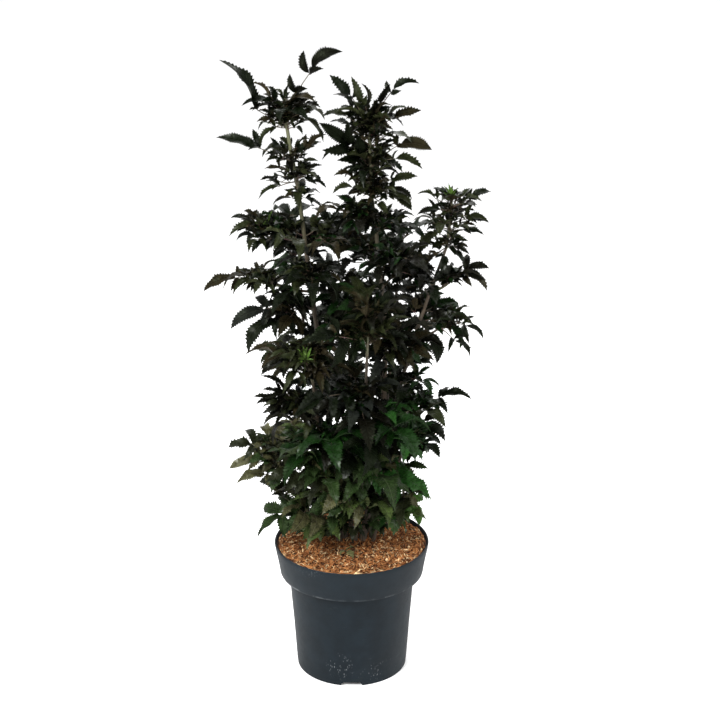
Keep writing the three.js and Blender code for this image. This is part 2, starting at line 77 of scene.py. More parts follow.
# One material with its node tree
class Finish:
    def __init__(self, name):
        self.material = bpy.data.materials.new(name)
        self.material.use_nodes = True
        self.tree = self.material.node_tree
        self.tree.nodes.clear()

    def node(self, kind, settings=None, inputs=None, out=None):
        made = self.tree.nodes.new(kind)
        for key, value in (settings or {}).items():
            if key == "stops":
                while len(made.color_ramp.elements) < len(value):
                    made.color_ramp.elements.new(0.5)
                for stop, (place, colour) in zip(made.color_ramp.elements, value):
                    stop.position, stop.color = place, (*colour, 1)
            else:
                setattr(made, key, value)
        for key, value in (inputs or {}).items():
            named = [s for s in made.inputs if s.enabled and key in (s.identifier, s.name)]
            socket = named[0] if named else made.inputs[key]
            if isinstance(value, Value):
                self.tree.links.new(value.socket, socket)
            else:
                solid = socket.type == "RGBA" and len(value) == 3
                socket.default_value = (*value, 1) if solid else value
        outputs = [s for s in made.outputs if s.enabled]
        return Value(self, made.outputs[out] if out else outputs[0]) if outputs else made

    def place(self, scale=(1, 1, 1)):
        spot = self.node("ShaderNodeTexCoord", out="Object")
        return self.node("ShaderNodeMapping", None, {"Vector": spot, "Scale": scale})

    def axes(self, vector):
        split = self.node("ShaderNodeSeparateXYZ", None, {0: vector}).socket.node
        return [Value(self, split.outputs[axis]) for axis in "XYZ"]

    def noise(self, scale, detail, stretch=(1, 1, 1)):
        inputs = {"Vector": self.place(stretch), "Scale": scale, "Detail": detail, "Roughness": 0.55}
        return self.node("ShaderNodeTexNoise", None, inputs, "Fac")

    def cells(self, scale, stretch):
        inputs = {"Vector": self.place(stretch), "Scale": scale}
        return self.node("ShaderNodeTexVoronoi", None, inputs, "Distance")

    def mix(self, share, first, second):
        return self.node("ShaderNodeMix", {"data_type": "RGBA"}, {"Factor": share, "A": first, "B": second})

    def bump(self, height, strength, distance):
        inputs = {"Height": height, "Strength": strength, "Distance": distance}
        return self.node("ShaderNodeBump", None, inputs)

    def done(self, **sockets):
        named = {key.replace("_", " "): value for key, value in sockets.items()}
        shader = self.node("ShaderNodeBsdfPrincipled", None, named)
        self.node("ShaderNodeOutputMaterial", None, {"Surface": shader})
        return self.material


def shade(colour, factor):
    return tuple(min(part * factor, 1) for part in colour)


# A small template mesh, kept as arrays so that many copies of it can be bent and joined
class Shape:
    def __init__(self, bm):
        bm.verts.index_update()
        self.points = np.array([v.co[:] for v in bm.verts])
        self.loops = np.array([v.index for f in bm.faces for v in f.verts])
        self.sizes = np.array([len(f.verts) for f in bm.faces])
        self.slots = np.array([f.material_index for f in bm.faces])
        bm.free()


def addObject(name, data):
    made = bpy.data.objects.new(name, data)
    bpy.context.scene.collection.objects.link(made)
    return made


def smooth(mesh, sharp):
    mesh.shade_smooth()
    mesh.set_sharp_from_angle(angle=sharp * degree)


def addPiece(name, mesh, materials, sharp):
    smooth(mesh, sharp)
    for material in materials:
        mesh.materials.append(material)
    return addObject(name, mesh)


def meshFrom(name, bm, materials, sharp=35):
    mesh = bpy.data.meshes.new(name)
    bm.to_mesh(mesh)
    bm.free()
    return addPiece(name, mesh, materials, sharp)


# Many bent copies of templates, joined into one mesh. rows holds (shape, places, marks), with places and
# marks of one row of vertices for each copy.
def joinCopies(name, rows, materials, markName=None, sharp=70):
    loops, first = [], 0
    for shape, spots, _ in rows:
        copies, corners = spots.shape[:2]
        loops.append((shape.loops + first + np.arange(copies)[:, None] * corners).ravel())
        first += copies * corners

    def gathered(parts, kind):
        return np.concatenate(list(parts)).astype(kind).ravel()

    sizes = gathered((np.tile(shape.sizes, len(spots)) for shape, spots, _ in rows), np.int32)
    mesh = bpy.data.meshes.new(name)
    mesh.vertices.add(first)
    mesh.vertices.foreach_set("co", gathered((spots.reshape(-1, 3) for _, spots, _ in rows), np.float32))
    loops = gathered(loops, np.int32)
    mesh.loops.add(len(loops))
    mesh.loops.foreach_set("vertex_index", loops)
    mesh.polygons.add(len(sizes))
    mesh.polygons.foreach_set("loop_start", (np.cumsum(sizes) - sizes).astype(np.int32))
    slots = gathered((np.tile(shape.slots, len(spots)) for shape, spots, _ in rows), np.int32)
    mesh.polygons.foreach_set("material_index", slots)
    if markName:
        layer = mesh.attributes.new(markName, "FLOAT_VECTOR", "POINT")
        layer.data.foreach_set("vector", gathered((marks.reshape(-1, 3) for *_, marks in rows), np.float32))
    mesh.update(calc_edges=True)
    return addPiece(name, mesh, materials, sharp)


def carry(piece, nodes=()):
    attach(piece, "root")
    if nodes:
        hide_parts(*nodes)
    print(f"{piece.name}: {len(piece.data.polygons)} faces")


# Of what an operator made, the vertices, edges or faces
def only(made, kind):
    return [item for item in made if isinstance(item, kind)]


# Camera, lights and floor
studio = {
    "eye": (0.0169, -2.8107, 1.6412), "tiltDown": 19.33, "lens": 76.85, "aim": (0, 0, 0.65),
    "backdrop": (1.0, 1.0, 1.0), "backdropStrength": 1.07,
    "floorRadius": 40, "floorColour": (0.94, 0.94, 0.94),
    # place, size, watts
    "lamps": [((-1.7, -2.2, 2.9), 1.3, 210), ((2.4, -1.6, 1.8), 1.8, 40), ((0.4, 1.9, 2.6), 1.4, 50)],
}


def setStudio():
    s = studio
    scene = bpy.context.scene
    scene.view_settings.view_transform = "Standard"
    camera = addObject("camera", bpy.data.cameras.new("camera"))
    camera.location = s["eye"]
    camera.rotation_euler = ((90 - s["tiltDown"]) * degree, 0, 0)
    camera.data.lens = s["lens"]
    scene.camera = camera
    for i, (place, size, watts) in enumerate(s["lamps"]):
        lamp = addObject(f"softbox{i}", bpy.data.lights.new(f"softbox{i}", "AREA"))
        lamp.data.size, lamp.data.energy = size, watts
        lamp.location = place
        lamp.rotation_euler = (Vector(s["aim"]) - Vector(place)).to_track_quat("-Z", "Y").to_euler()
    world = scene.world = bpy.data.worlds.new("backdrop")
    world.use_nodes = True
    background = world.node_tree.nodes["Background"]
    background.inputs["Color"].default_value = (*s["backdrop"], 1)
    background.inputs["Strength"].default_value = s["backdropStrength"]
    paper = Finish("floorPaper")
    colour = paper.mix(paper.noise(6, 4), s["floorColour"], shade(s["floorColour"], 0.985))
    bm = bmesh.new()
    bmesh.ops.create_circle(bm, cap_ends=True, segments=96, radius=s["floorRadius"])
    meshFrom("floor", bm, [paper.done(Base_Color=colour, Roughness=0.9)])


# The pot: outer radii and heights from the solid, with finer rounding
potPlan = {
    "height": 272, "rim": 155.5, "collarFoot": 145, "collar": 66, "bodyTop": 127, "base": 112,
    "rounding": 12, "wall": 2.6, "floorLift": 7, "floor": 3, "ring": 12, "pad": 34, "recess": 4,
    "notchWide": 44, "notchTop": 34, "notchHigh": 9, "notchLong": 34, "openings": 4,
    "drainRadius": 7, "drainCircle": 70, "drainDeep": 20, "segments": 144,
    # the pale edge colour is a painted highlight on the collar's lower edge and the rim, with some rubbed
    # wear
    "colour": (0.0032, 0.0062, 0.0088), "edgeHighlightAndWear": (0.075, 0.082, 0.088), "scuff": (0.13, 0.142, 0.150),
    "dust": (0.016, 0.019, 0.020), "cast": (0.009, 0.0125, 0.0155),
    # scuffed patches in metres: middle, radius of the worst, radius of the last, strength
    "scuffed": [((-0.024, -0.115, 0.044), 0.010, 0.036, 1), ((0.046, -0.104, 0.026), 0.004, 0.030, 0.8)],
}


def potFinish():
    p = potPlan
    plastic = Finish("potPlastic")
    where = plastic.place()
    x, y, z = plastic.axes(where)
    radius = (x * x + y * y).power(0.5)
    base = plastic.mix(plastic.noise(26, 5).step(0.3, 0.75), p["colour"], shade(p["colour"], 1.5))
    # dust that settles towards the foot, and a lighter cast on the collar
    dust = (0.11 - z).step(0.0, 0.10) * plastic.noise(9, 6).step(0.42, 0.8)
    base = plastic.mix(dust * 0.22, base, p["dust"])
    base = plastic.mix((z - 0.2).step(0, 0.03) * 0.25, base, p["cast"])
    # the collar's lower edge and the rim are painted pale: a painted highlight along those edges, with some
    # rubbed wear
    foot = (p["height"] - p["collar"]) * mm
    edge = (1 - ((z - foot - 0.0025) * 320).absolute()).clamped() * (radius - 0.1425).step(0, 0.0012)
    edge = edge * plastic.noise(70, 5).step(0.42, 0.62) * (0.25 + plastic.noise(13, 2).step(0.42, 0.6))
    rim = (z - (p["height"] - 1.2) * mm).step(0, 0.001) * plastic.noise(40, 3).step(0.4, 0.7)
    base = plastic.mix((edge * 0.9 + rim * 0.3).clamped(), base, p["edgeHighlightAndWear"])
    # rubbed specks, most of them low on the front, and a few level scratches
    rubbed = plastic.noise(7, 2).step(0.60, 0.72) * 0.3
    for middle, near, far, strength in p["scuffed"]:
        away = plastic.node("ShaderNodeVectorMath", {"operation": "DISTANCE"}, {0: where, 1: middle}, "Value")
        rubbed = rubbed + (1 - away.step(near, far)) * strength
    speckle = (1 - plastic.cells(330, (1, 1, 0.4)).step(0.16, 0.36)) * plastic.noise(70, 3).step(0.46, 0.54)
    lines = plastic.noise(30, 2, (1, 1, 26)).step(0.70, 0.78) * plastic.noise(12, 2).step(0.5, 0.66)
    scuffs = (speckle * rubbed.clamped() + lines * 0.22).clamped()
    base = plastic.mix(scuffs, base, p["scuff"])
    rough = 0.50 + plastic.noise(90, 3) * 0.14 + scuffs * 0.2
    grain = plastic.noise(900, 2) * 0.4 + plastic.noise(60, 3) * 0.6
    return plastic.done(Base_Color=base, Roughness=rough, Specular_IOR_Level=0.12,
                        Normal=plastic.bump(grain, 0.10, 0.0012))


def makePot():
    p = potPlan
    top, foot, low = p["height"], p["height"] - p["collar"], p["floorLift"]
    base, wall, rim, collar, pad = p["base"], p["wall"], p["rim"], p["collarFoot"], p["pad"]
    outline = [
        (0, 0), (pad - 1, 0), (pad + 0.4, 0.6), (pad + p["recess"], low), (base - p["ring"] - 4, low),
        (base - p["ring"], 0), (base - 0.8, 0), (base - 0.1, 0.6), (base + 0.3, 3), (base + 1, p["rounding"]),
        (base + 6, 90), (p["bodyTop"] - 2, foot - 26), (p["bodyTop"], foot), (collar - 3.2, foot),
        (collar - 1.2, foot + 0.6), (collar - 0.2, foot + 2.4), (collar + 3.2, foot + 24),
        (rim - 1.2, top - 10), (rim, top - 2.4), (rim - 0.5, top - 0.7), (rim - 1.6, top),
        (rim - 2.7, top - 0.4), (rim - 3.6, top - 2), (collar - wall, foot + wall + 4),
        (p["bodyTop"] - wall, foot + wall), (base - wall, low + p["floor"]), (0, low + p["floor"]),
    ]
    bm = bmesh.new()
    chain = [bm.verts.new((r * mm, 0, z * mm)) for r, z in outline]
    edges = [bm.edges.new(pair) for pair in zip(chain, chain[1:])]
    bmesh.ops.spin(bm, geom=chain + edges, cent=(0, 0, 0), axis=(0, 0, 1), angle=2 * math.pi,
                   steps=p["segments"], use_merge=True)
    bmesh.ops.remove_doubles(bm, verts=bm.verts, dist=1e-6)
    bmesh.ops.recalc_face_normals(bm, faces=bm.faces)
    pot = meshFrom("nurseryPot", bm, [potFinish()])
    # a notch at the foot and a drain hole between the notches, all round
    cutter = bmesh.new()
    for i in range(p["openings"]):
        turn = i * 2 * math.pi / p["openings"]
        notch = bmesh.ops.create_cube(cutter, size=1)["verts"]
        bmesh.ops.scale(cutter, vec=(p["notchLong"] * mm, mm, 2 * p["notchHigh"] * mm), verts=notch)
        for v in notch:
            v.co.y *= p["notchTop"] if v.co.z > 0 else 2 * p["notchWide"] - p["notchTop"]
        drain = bmesh.ops.create_cone(cutter, cap_ends=True, segments=24, radius1=p["drainRadius"] * mm,
                                      radius2=p["drainRadius"] * mm, depth=p["drainDeep"] * mm)["verts"]
        for verts, out, high, way in ((notch, base + 2, 0, turn),
                                      (drain, p["drainCircle"], 8.5, turn + math.pi / p["openings"])):
            bmesh.ops.translate(cutter, vec=(out * mm, 0, high * mm), verts=verts)
            bmesh.ops.rotate(cutter, verts=verts, cent=(0, 0, 0), matrix=Matrix.Rotation(way, 3, "Z"))
    tool = meshFrom("potCutter", cutter, [])
    cut = pot.modifiers.new("openings", "BOOLEAN")
    cut.operation, cut.solver, cut.object = "DIFFERENCE", "EXACT", tool
    bpy.context.view_layer.update()
    mesh = bpy.data.meshes.new_from_object(pot.evaluated_get(bpy.context.evaluated_depsgraph_get()))
    pot.modifiers.clear()
    pot.data = mesh
    smooth(mesh, 32)
    bpy.data.objects.remove(tool)
    carry(pot, ["pot"])


# The mulch: a dark domed bed with shreds of bark lying over it, in four tones
mulchPlan = {
    "top": 263, "fall": -2, "flat": 93, "heap": 11, "heapWide": 52, "heapAt": (6, 8), "radius": 150.6,
    "rough": 1.7, "sunk": 1.6, "skirt": 20,
    "rings": (0.93, 0.85, 0.76, 0.66, 0.56, 0.46, 0.36, 0.27, 0.18, 0.1),
    # name, colour, share
    "tones": [("rustyBark", (0.196, 0.070, 0.022), 0.35), ("tanBark", (0.335, 0.142, 0.047), 0.39),
              ("darkBark", (0.055, 0.018, 0.005), 0.12), ("paleBark", (0.60, 0.40, 0.21), 0.14)],
    "bed": [(0.3, (0.02, 0.010, 0.006)), (0.6, (0.10, 0.040, 0.016)), (0.8, (0.2, 0.10, 0.04))],
    "shreds": 6800, "seed": 5, "long": (4, 13), "wide": (1.2, 3.4), "thick": (0.6, 1.5),
    "tilt": 26, "steepest": 58, "roll": 30, "lift": (-1.4, 2.6), "bow": 0.10, "wallLane": 12,
    # room to the wall, a shred's longest there and how that grows inwards, and how far it stands on its end
    "inset": 3, "wallLong": 5, "wallGrow": 2.6, "onEnd": 0.25,
}


def mulchHeight(x, y):
    p = mulchPlan
    fall = np.clip((np.hypot(x, y) - p["flat"]) / (p["radius"] - p["flat"]), 0, 1)
    heap = np.exp(-(np.hypot(x - p["heapAt"][0], y - p["heapAt"][1]) / p["heapWide"]) ** 2)
    return p["top"] - p["fall"] * fall + p["heap"] * heap


def barkFinish(name, colour):
    chip = Finish(name)
    fibre = chip.noise(700, 3, (1, 1, 0.4))
    base = chip.mix(chip.noise(110, 2).step(0.25, 0.8), shade(colour, 0.55), shade(colour, 1.35))
    base = chip.mix(fibre.step(0.5, 0.75) * 0.5, base, shade(colour, 1.9))
    return chip.done(Base_Color=base, Roughness=0.86 + fibre * 0.1, Specular_IOR_Level=0.2,
                     Normal=chip.bump(fibre, 0.5, 0.0008))


# A splinter: a bar with torn, slanting ends
def shredShape():
    bm = bmesh.new()
    bmesh.ops.create_cube(bm, size=1)
    long = [e for e in bm.edges if abs(e.verts[0].co.x - e.verts[1].co.x) > 0.5]
    bmesh.ops.subdivide_edges(bm, edges=long, cuts=1)
    for v in bm.verts:
        if abs(v.co.x) > 0.4:
            v.co.y *= 0.35 if v.co.x > 0 else 0.6
            v.co.z *= 0.5
            v.co.x += 0.10 * v.co.y / 0.3
    return Shape(bm)


def makeBed():
    p = mulchPlan
    bm = bmesh.new()
    bmesh.ops.create_circle(bm, cap_ends=False, segments=96, radius=p["radius"] * mm)
    rim = list(bm.edges)
    for share in p["rings"]:
        made = bmesh.ops.extrude_edge_only(bm, edges=rim)["geom"]
        ring = only(made, bmesh.types.BMVert)
        rim = [e for e in only(made, bmesh.types.BMEdge) if all(v in ring for v in e.verts)]
        size = share * p["radius"] * mm / ring[0].co.to_2d().length
        bmesh.ops.scale(bm, vec=(size, size, 1), verts=ring)
    bmesh.ops.contextual_create(bm, geom=rim)
    for v in bm.verts:
        x, y = v.co.x / mm, v.co.y / mm
        bumpy = noise.noise(Vector((x, y, 3)) / 9) + 0.6 * noise.noise(Vector((x, y, 8)) / 4)
        v.co.z = (mulchHeight(x, y) - p["sunk"] + p["rough"] * bumpy) * mm
    # a skirt closes the bed down the inside of the pot
    skirt = bmesh.ops.extrude_edge_only(bm, edges=[e for e in bm.edges if e.is_boundary])["geom"]
    low = only(skirt, bmesh.types.BMVert)
    bmesh.ops.scale(bm, vec=(0.985, 0.985, 1), verts=low)
    bmesh.ops.translate(bm, vec=(0, 0, -p["skirt"] * mm), verts=low)
    bmesh.ops.contextual_create(bm, geom=[e for e in only(skirt, bmesh.types.BMEdge) if e.is_boundary])
    bmesh.ops.recalc_face_normals(bm, faces=bm.faces)
    bed = Finish("mulchBed")
    clod = bed.noise(160, 4)
    colour = bed.node("ShaderNodeValToRGB", {"stops": p["bed"]}, {"Fac": clod}, "Color")
    finish = bed.done(Base_Color=colour, Roughness=0.95, Normal=bed.bump(clod, 0.8, 0.003))
    carry(meshFrom("mulchBed", bm, [finish], 60), ["soil"])


def makeMulch():
    p = mulchPlan
    makeBed()
    rng = np.random.default_rng(p["seed"])
    shred = shredShape()
    for name, colour, share in p["tones"]:
        count = int(p["shreds"] * share)
        radius = (p["radius"] - p["inset"]) * np.sqrt(rng.random(count))
        side = rng.random(count) * 2 * math.pi
        x, y = radius * np.cos(side), radius * np.sin(side)
        turn = rng.random(count) * 2 * math.pi
        tilt = rng.normal(0, p["tilt"], count).clip(-p["steepest"], p["steepest"]) * degree
        long, wide, thick = (rng.uniform(*p[key], count) for key in ("long", "wide", "thick"))
        long = np.minimum(long, p["wallGrow"] * (p["radius"] - radius) + p["wallLong"])
        z = mulchHeight(x, y) + rng.uniform(*p["lift"], count) + p["onEnd"] * long * np.abs(np.sin(tilt))
        along = np.stack([np.cos(turn) * np.cos(tilt), np.sin(turn) * np.cos(tilt), np.sin(tilt)], 1)
        # a shred near the wall lies along it
        near = radius > p["radius"] - p["wallLane"]
        along[near] = np.stack([-np.sin(side), np.cos(side), 0 * side], 1)[near]
        across = unit(np.cross(upwards, along))
        normal = np.cross(along, across)
        roll = rng.normal(0, p["roll"], count)[:, None] * degree
        across, normal = (across * np.cos(roll) + normal * np.sin(roll),
                          normal * np.cos(roll) - across * np.sin(roll))
        u, v, w = shred.points.T
        bow = (0.25 - u * u) * p["bow"]
        places = np.stack([x, y, z], 1)[:, None]
        for way, reach in ((along, u * long[:, None]), (across, v * wide[:, None]),
                           (normal, w * thick[:, None] + bow * long[:, None])):
            places = places + way[:, None] * reach[..., None]
        carry(joinCopies(name, [(shred, places * mm, None)], [barkFinish(name, colour)], sharp=40))


# A bough or shoot: what carries it, the height on that or None at its tip, its side, slope and length.
# leaves is a list, or how many in a fan; a leaf is its share of the shoot, side, rise and length, then if
# wanted its arch, turn and laterals' size.
def limb(carrier, height, side, slope, long, leaves=None, **more):
    return {"carrier": carrier, "height": height, "side": side, "slope": slope, "long": long,
            "leaves": leaves, **more}


# The limbs, nearly as in the solids. The stems rise from the mulch.
stemFoot = 265.3
stems = {
    # foot, tip, swing of the middle, radii at the foot and the tip
    "stem_left": ((-14, 4), (-100, 0, 1003), (0, 10), (7.5, 4.3)),
    "stem_middle": ((20, -4), (39, 0, 975), (35, -8), (8, 4.3)),
    "stem_right": ((40, 9), (180, 0, 880), (-20, 10), (7, 3.2)),
    "stem_front_left": ((-24, -4), (-72, -88, 640), (-6, 0), (6, 3)),
    "stem_front_middle": ((6, -8), (30, -104, 700), (4, 10), (6, 3)),
    "stem_front_right": ((42, -4), (104, -64, 500), (-4, 6), (5, 3)),
    "stem_back_left": ((-32, 30), (-104, 104, 760), (0, 8), (6.5, 3)),
    "stem_back_middle": ((-2, 40), (-8, 150, 690), (4, 6), (6, 3)),
    "stem_back_right": ((34, 36), (92, 128, 790), (6, 0), (6.5, 3)),
}
boughs = {
    "bough_left": limb("stem_left", 790, 186, 14, 56, radius=3.2),
    "bough_right": limb("stem_right", 690, 350, 30, 48, radius=3.2),
    "bough_low_left": limb("stem_front_left", 386, 186, 30, 80, radius=3),
}
shoots = {
    "left_top": limb("stem_left", None, 180, 81, 134, [
        (0.1, 334, -10, 44, 0.2, 45, 0.7), (0.12, 350, 26, 56, 0.1, 40, 0.7), (0.04, 196, -22, 80),
        (0.08, 276, -30, 84), (0.12, 200, -6, 50), (0.38, 180, 18, 148, 0.04, -40, 0.7),
        (0.38, 20, 30, 66, 0.1, 40), (0.38, 192, 2, 50), (0.9, 190, -10, 54, 0.3, -30),
        (0.86, 196, -34, 60, 0.28, -40), (0.94, 186, 0, 54, 0.1, -50), (0.88, 350, -22, 74, 0.42, 30, 0.6),
        (0.84, 300, 0, 60), (0.92, 100, 16, 76), (1, 350, 33, 68, 0.1, 40),
        (1, 181, 41, 157, -0.21, -30, 0.4), (1, 0, 48, 158, 0.18, 50, 0.75), (0.98, 30, 80, 66, 0.05, -60),
        (0.94, 330, 20, 58, 0.1, 30),
    ], young=True, radius=4.1),
    "middle_top": limb("stem_middle", None, 180, 88, 136, [
        (0.02, 194, 8, 76, 0.2, -30, 0.8), (0.1, 190, 26, 80, 0.14, -30, 0.7), (0.28, 90, 22, 104),
        (0.06, 300, 14, 60), (0.02, 225, 14, 66), (0.14, 250, 6, 60), (0.06, 0, -6, 76, 0.2, 45, 0.8),
        (0.22, 350, 14, 90, 0.05, 45, 0.6), (0.5, 336, 4, 104, 0.18, 30, 0.6),
        (0.48, 0, 18, 119, 0.24, 58, 0.6), (0.34, 184, 22, 98, 0.36, -50, 0.6),
        (0.5, 182, 42, 128, 0.04, -70, 1.1), (0.5, 262, -12, 90), (0.02, 320, 22, 52),
        (0.04, 0, -20, 80, 0.25, 60, 0.9), (0.1, 210, 36, 50), (0.54, 182, 22, 70, 0.1, -40),
        (0.62, 320, 30, 64), (0.74, 350, 12, 80, 0.3, 30, 0.4), (0.92, 6, 26, 106, 0.12, 50, 0.45),
        (0.88, 350, -4, 52, 0.2, 40), (0.9, 172, 20, 80), (0.8, 230, 30, 60),
        (1, 180, 54, 124, 0.12, -55, 0.5), (1, 180, 71, 103, 0.02, -70, 0.6), (1, 180, 80, 86, 0.02, 30, 0.4),
        (1, 0, 43, 124, 0.26, 45, 0.6), (1, 0, 66, 92, 0.1, 70, 0.4), (0.94, 350, 52, 66, 0.24, 50),
        (0.9, 186, 24, 98, 0.22, -40, 0.7), (0, 352, -12, 78, 0.16, 45, 0.8), (0.02, 302, -20, 60, 0.1, 30),
    ], young=True, radius=4.1),
    "right_top": limb("stem_right", None, 0, 84, 90, [
        (0.46, 200, -36, 76, 0.28, -40), (0.42, 306, 14, 60), (0.5, 80, 4, 104), (0.56, 170, 4, 70),
        (0.4, 344, 0, 68, 0.12, 45), (0.02, 186, 0, 46, 0.15, -30), (0, 200, -40, 56, 0.1, -30),
        (0.06, 350, 14, 42, 0.1, 30), (0.02, 320, -32, 50, 0.2, 30), (0, 250, -50, 54, 0.1),
        (0.1, 284, -10, 52), (0.56, 0, 4, 74, 0.14, 45), (0.72, 340, 0, 74, 0.1, 45), (0.62, 254, -4, 80),
        (0.9, 186, 24, 72, 0.1, -30), (0.94, 0, 20, 80, 0.02, 45, 0.7), (0.86, 81, 60, 50),
        (0.9, 303, 14, 76), (0.84, 200, 0, 70, 0.1, -45),
    ], young=True, radius=3.1, sprigs=0.7),
    "front_left_top": limb("stem_front_left", None, 200, 78, 66, [
        (0.5, 188, 16, 126), (0.4, 352, 4, 96), (1, 262, -14, 70), (0.9, 214, 8, 84), (0.9, 312, 8, 84),
        (0.7, 240, -20, 96), (0.7, 290, -20, 90),
    ]),
    "front_middle_top": limb("stem_front_middle", None, 280, 82, 70, turn=214, pairs=2, leaf=148, rise=2),
    "front_right_top": limb("stem_front_right", None, 340, 60, 20, [
        (0.5, 24, 9, 82), (1, 316, -12, 78), (0.9, 262, -2, 104),
    ]),
    "back_left_top": limb("stem_back_left", None, 130, 80, 76, turn=110, pairs=2, leaf=124, sprigs=1.8),
    "back_middle_top": limb("stem_back_middle", None, 90, 80, 66, turn=60, pairs=2, leaf=140, sprigs=1.4),
    "back_right_top": limb("stem_back_right", None, 40, 80, 76, turn=70, pairs=2, leaf=96, sprigs=0.9),
    "left_a": limb("stem_left", 892, 183, 14, 70, [
        (0.3, 193, 6, 120, 0.1, -20, 0.35), (1, 168, 18, 76), (1, 236, -24, 64), (0.2, 250, 3, 108),
        (1, 188, -14, 62, 0.1, -30), (0.7, 200, -28, 58, 0.1, -30), (0.6, 150, 30, 80),
    ]),
    "left_b": limb("stem_left", 880, 350, 30, 32, [(0.6, 61, 16, 104), (0.8, 290, -8, 108)], sprigs=1.8),
    "left_c": limb("stem_left", 866, 96, 30, 34, 2, leaf=150),
    "left_d": limb("stem_left", 816, 276, 30, 28, 3, sprigs=1.3, leaf=128, rise=-4),
    "left_e": limb("stem_left", 752, 178, 30, 32, [
        (0.4, 160, -14, 100), (0.5, 198, -37, 140, 0.14, -35, 0.7), (1, 190, -21, 138, 0.07, -40, 0.7),
        (0.6, 240, -24, 96), (0.9, 176, 10, 70),
    ], sprigs=1.8),
    "left_f": limb("stem_left", 716, 330, 30, 30, [(0.7, 300, -4, 150), (1, 14, 0, 150)]),
    "left_g": limb("stem_left", 640, 190, 30, 30, [
        (0.4, 142, -22, 96), (1, 190, -20, 92, 0.1, -30, 0.7), (0.4, 240, -20, 104), (0.7, 196, 14, 70),
    ]),
    "left_outer": limb("bough_left", None, 180, 8, 28, [
        (0.4, 140, -4, 84), (0, 194, -8, 92, 0.2, -40, 0.6), (0.6, 250, 3, 84),
        (1, 181, -7, 120, 0.16, -45, 0.5),
    ]),
    "middle_a": limb("stem_middle", 930, 200, 30, 28, 3, leaf=96, rise=0),
    "middle_b": limb("stem_middle", 912, 320, 30, 26, [
        (0.6, 250, 0, 84), (1, 286, 10, 84), (0.8, 326, -4, 80), (0.6, 0, -14, 58), (0.5, 200, 0, 70),
    ], sprigs=1.1),
    "middle_c": limb("stem_middle", 850, 312, 26, 34, 3, leaf=108, rise=0),
    "middle_d": limb("stem_middle", 836, 120, 30, 34, 2, leaf=148),
    "middle_e": limb("stem_middle", 742, 220, 34, 30, [(0.6, 170, 4, 130), (1, 236, 16, 124)]),
    "middle_f": limb("stem_middle", 672, 300, 34, 30, [
        (0.6, 246, -18, 108), (1, 316, 0, 104), (0.6, 10, -4, 80),
    ]),
    "right_a": limb("stem_right", 790, 4, 26, 34, [
        (0.7, 286, 44, 84), (0.6, 330, 20, 90, 0.2), (1, 358, 22, 84, 0.16, 50), (0.9, 350, -6, 78, 0.3, 40),
    ]),
    "right_b": limb("stem_right", 806, 200, 26, 34, 2, leaf=112),
    "right_c": limb("stem_right", 720, 80, 30, 34, [
        (0.6, 40, 0, 104), (1, 110, 10, 120), (0.05, 350, -31, 94, 0.3, 45, 0.6),
        (0.05, 340, -64, 86, 0.25, 40, 0.5),
    ], sprigs=1.6),
    "right_d": limb("stem_right", 600, 320, 30, 34, [(0.5, 256, -6, 118), (1, 290, -4, 84)], sprigs=0.4),
    "right_e": limb("stem_right", 530, 0, 28, 40, [
        (0.5, 48, 8, 84), (0.9, 306, -3, 108), (1, 346, 13, 120, 0.1, 30, 0.7), (0.7, 330, -30, 96),
    ], sprigs=1.6),
    "right_outer": limb("bough_right", None, 350, 24, 22, [
        (0.2, 36, 22, 80), (0.3, 318, -32, 84), (0.8, 276, 24, 84), (1, 343, -20, 74, 0.2, 40),
    ], sprigs=0.9),
    "front_left_a": limb("stem_front_left", 560, 190, 30, 34, [
        (0.5, 241, -8, 124), (0.9, 190, 22, 100, 0.1, -40), (1, 182, 10, 84, 0.1, -30),
        (0.7, 184, 44, 114, 0.1, -40), (0.8, 200, 14, 84, 0.1, -30), (0.6, 210, 60, 78),
        (0.9, 196, 34, 96, 0.1, -30),
    ]),
    "front_left_b": limb("stem_front_left", 520, 290, 30, 30, 3, leaf=152, rise=-14),
    "front_left_c": limb("stem_front_left", 440, 234, 30, 34, [
        (0.5, 200, -7, 108), (1, 240, 24, 140), (0.6, 288, -8, 126),
    ]),
    "low_left_outer": limb("bough_low_left", None, 186, 60, 60, [
        (0.06, 206, -4, 106, 0.12, -30, 0.6), (0.5, 190, 0, 104, 0.2, -40, 0.7), (1, 179, 4, 92),
        (0.96, 110, 12, 84),
    ]),
    "front_middle_a": limb("stem_front_middle", 600, 226, 32, 30, 3, leaf=150, rise=-10),
    "front_middle_b": limb("stem_front_middle", 550, 312, 30, 30, 3, leaf=148, rise=-10),
    "front_middle_c": limb("stem_front_middle", 450, 284, 30, 26, 3, leaf=156, rise=-14),
    "front_right_a": limb("stem_front_right", 400, 330, 30, 36, [
        (0.6, 354, 8, 54), (0.9, 315, -20, 60), (1, 268, -24, 104),
    ], sprigs=0.5),
    "back_left_a": limb("stem_back_left", 590, 150, 30, 34, [
        (0.5, 170, -7, 80), (1, 138, 4, 116), (0.2, 86, -12, 150),
    ], sprigs=1.8),
    "back_left_b": limb("stem_back_left", 430, 160, 30, 40, [(0.6, 134, 0, 134), (0.8, 215, -12, 122)]),
    "back_middle_a": limb("stem_back_middle", 510, 96, 32, 34, 3, leaf=150),
    "back_right_a": limb("stem_back_right", 620, 44, 30, 34, [
        (0.5, 0, 3, 84), (1, 42, 20, 124), (0.6, 84, -12, 140),
    ]),
    "back_right_b": limb("stem_back_right", 440, 46, 30, 44, [(0.6, 358, -2, 100), (0.6, 80, -8, 134)]),
    "foot_left": limb("stem_left", 330, 196, 24, 80, [(0.5, 244, 0, 138), (1, 200, -33, 116)]),
    "foot_front": limb("stem_front_middle", 360, 250, 34, 30, 3, leaf=138),
    "foot_right": limb("stem_front_right", 320, 310, 32, 34, [(0.6, 276, 10, 104), (0.8, 344, 6, 78)]),
    "foot_back": limb("stem_back_middle", 350, 60, 34, 40, 2, leaf=140),
}


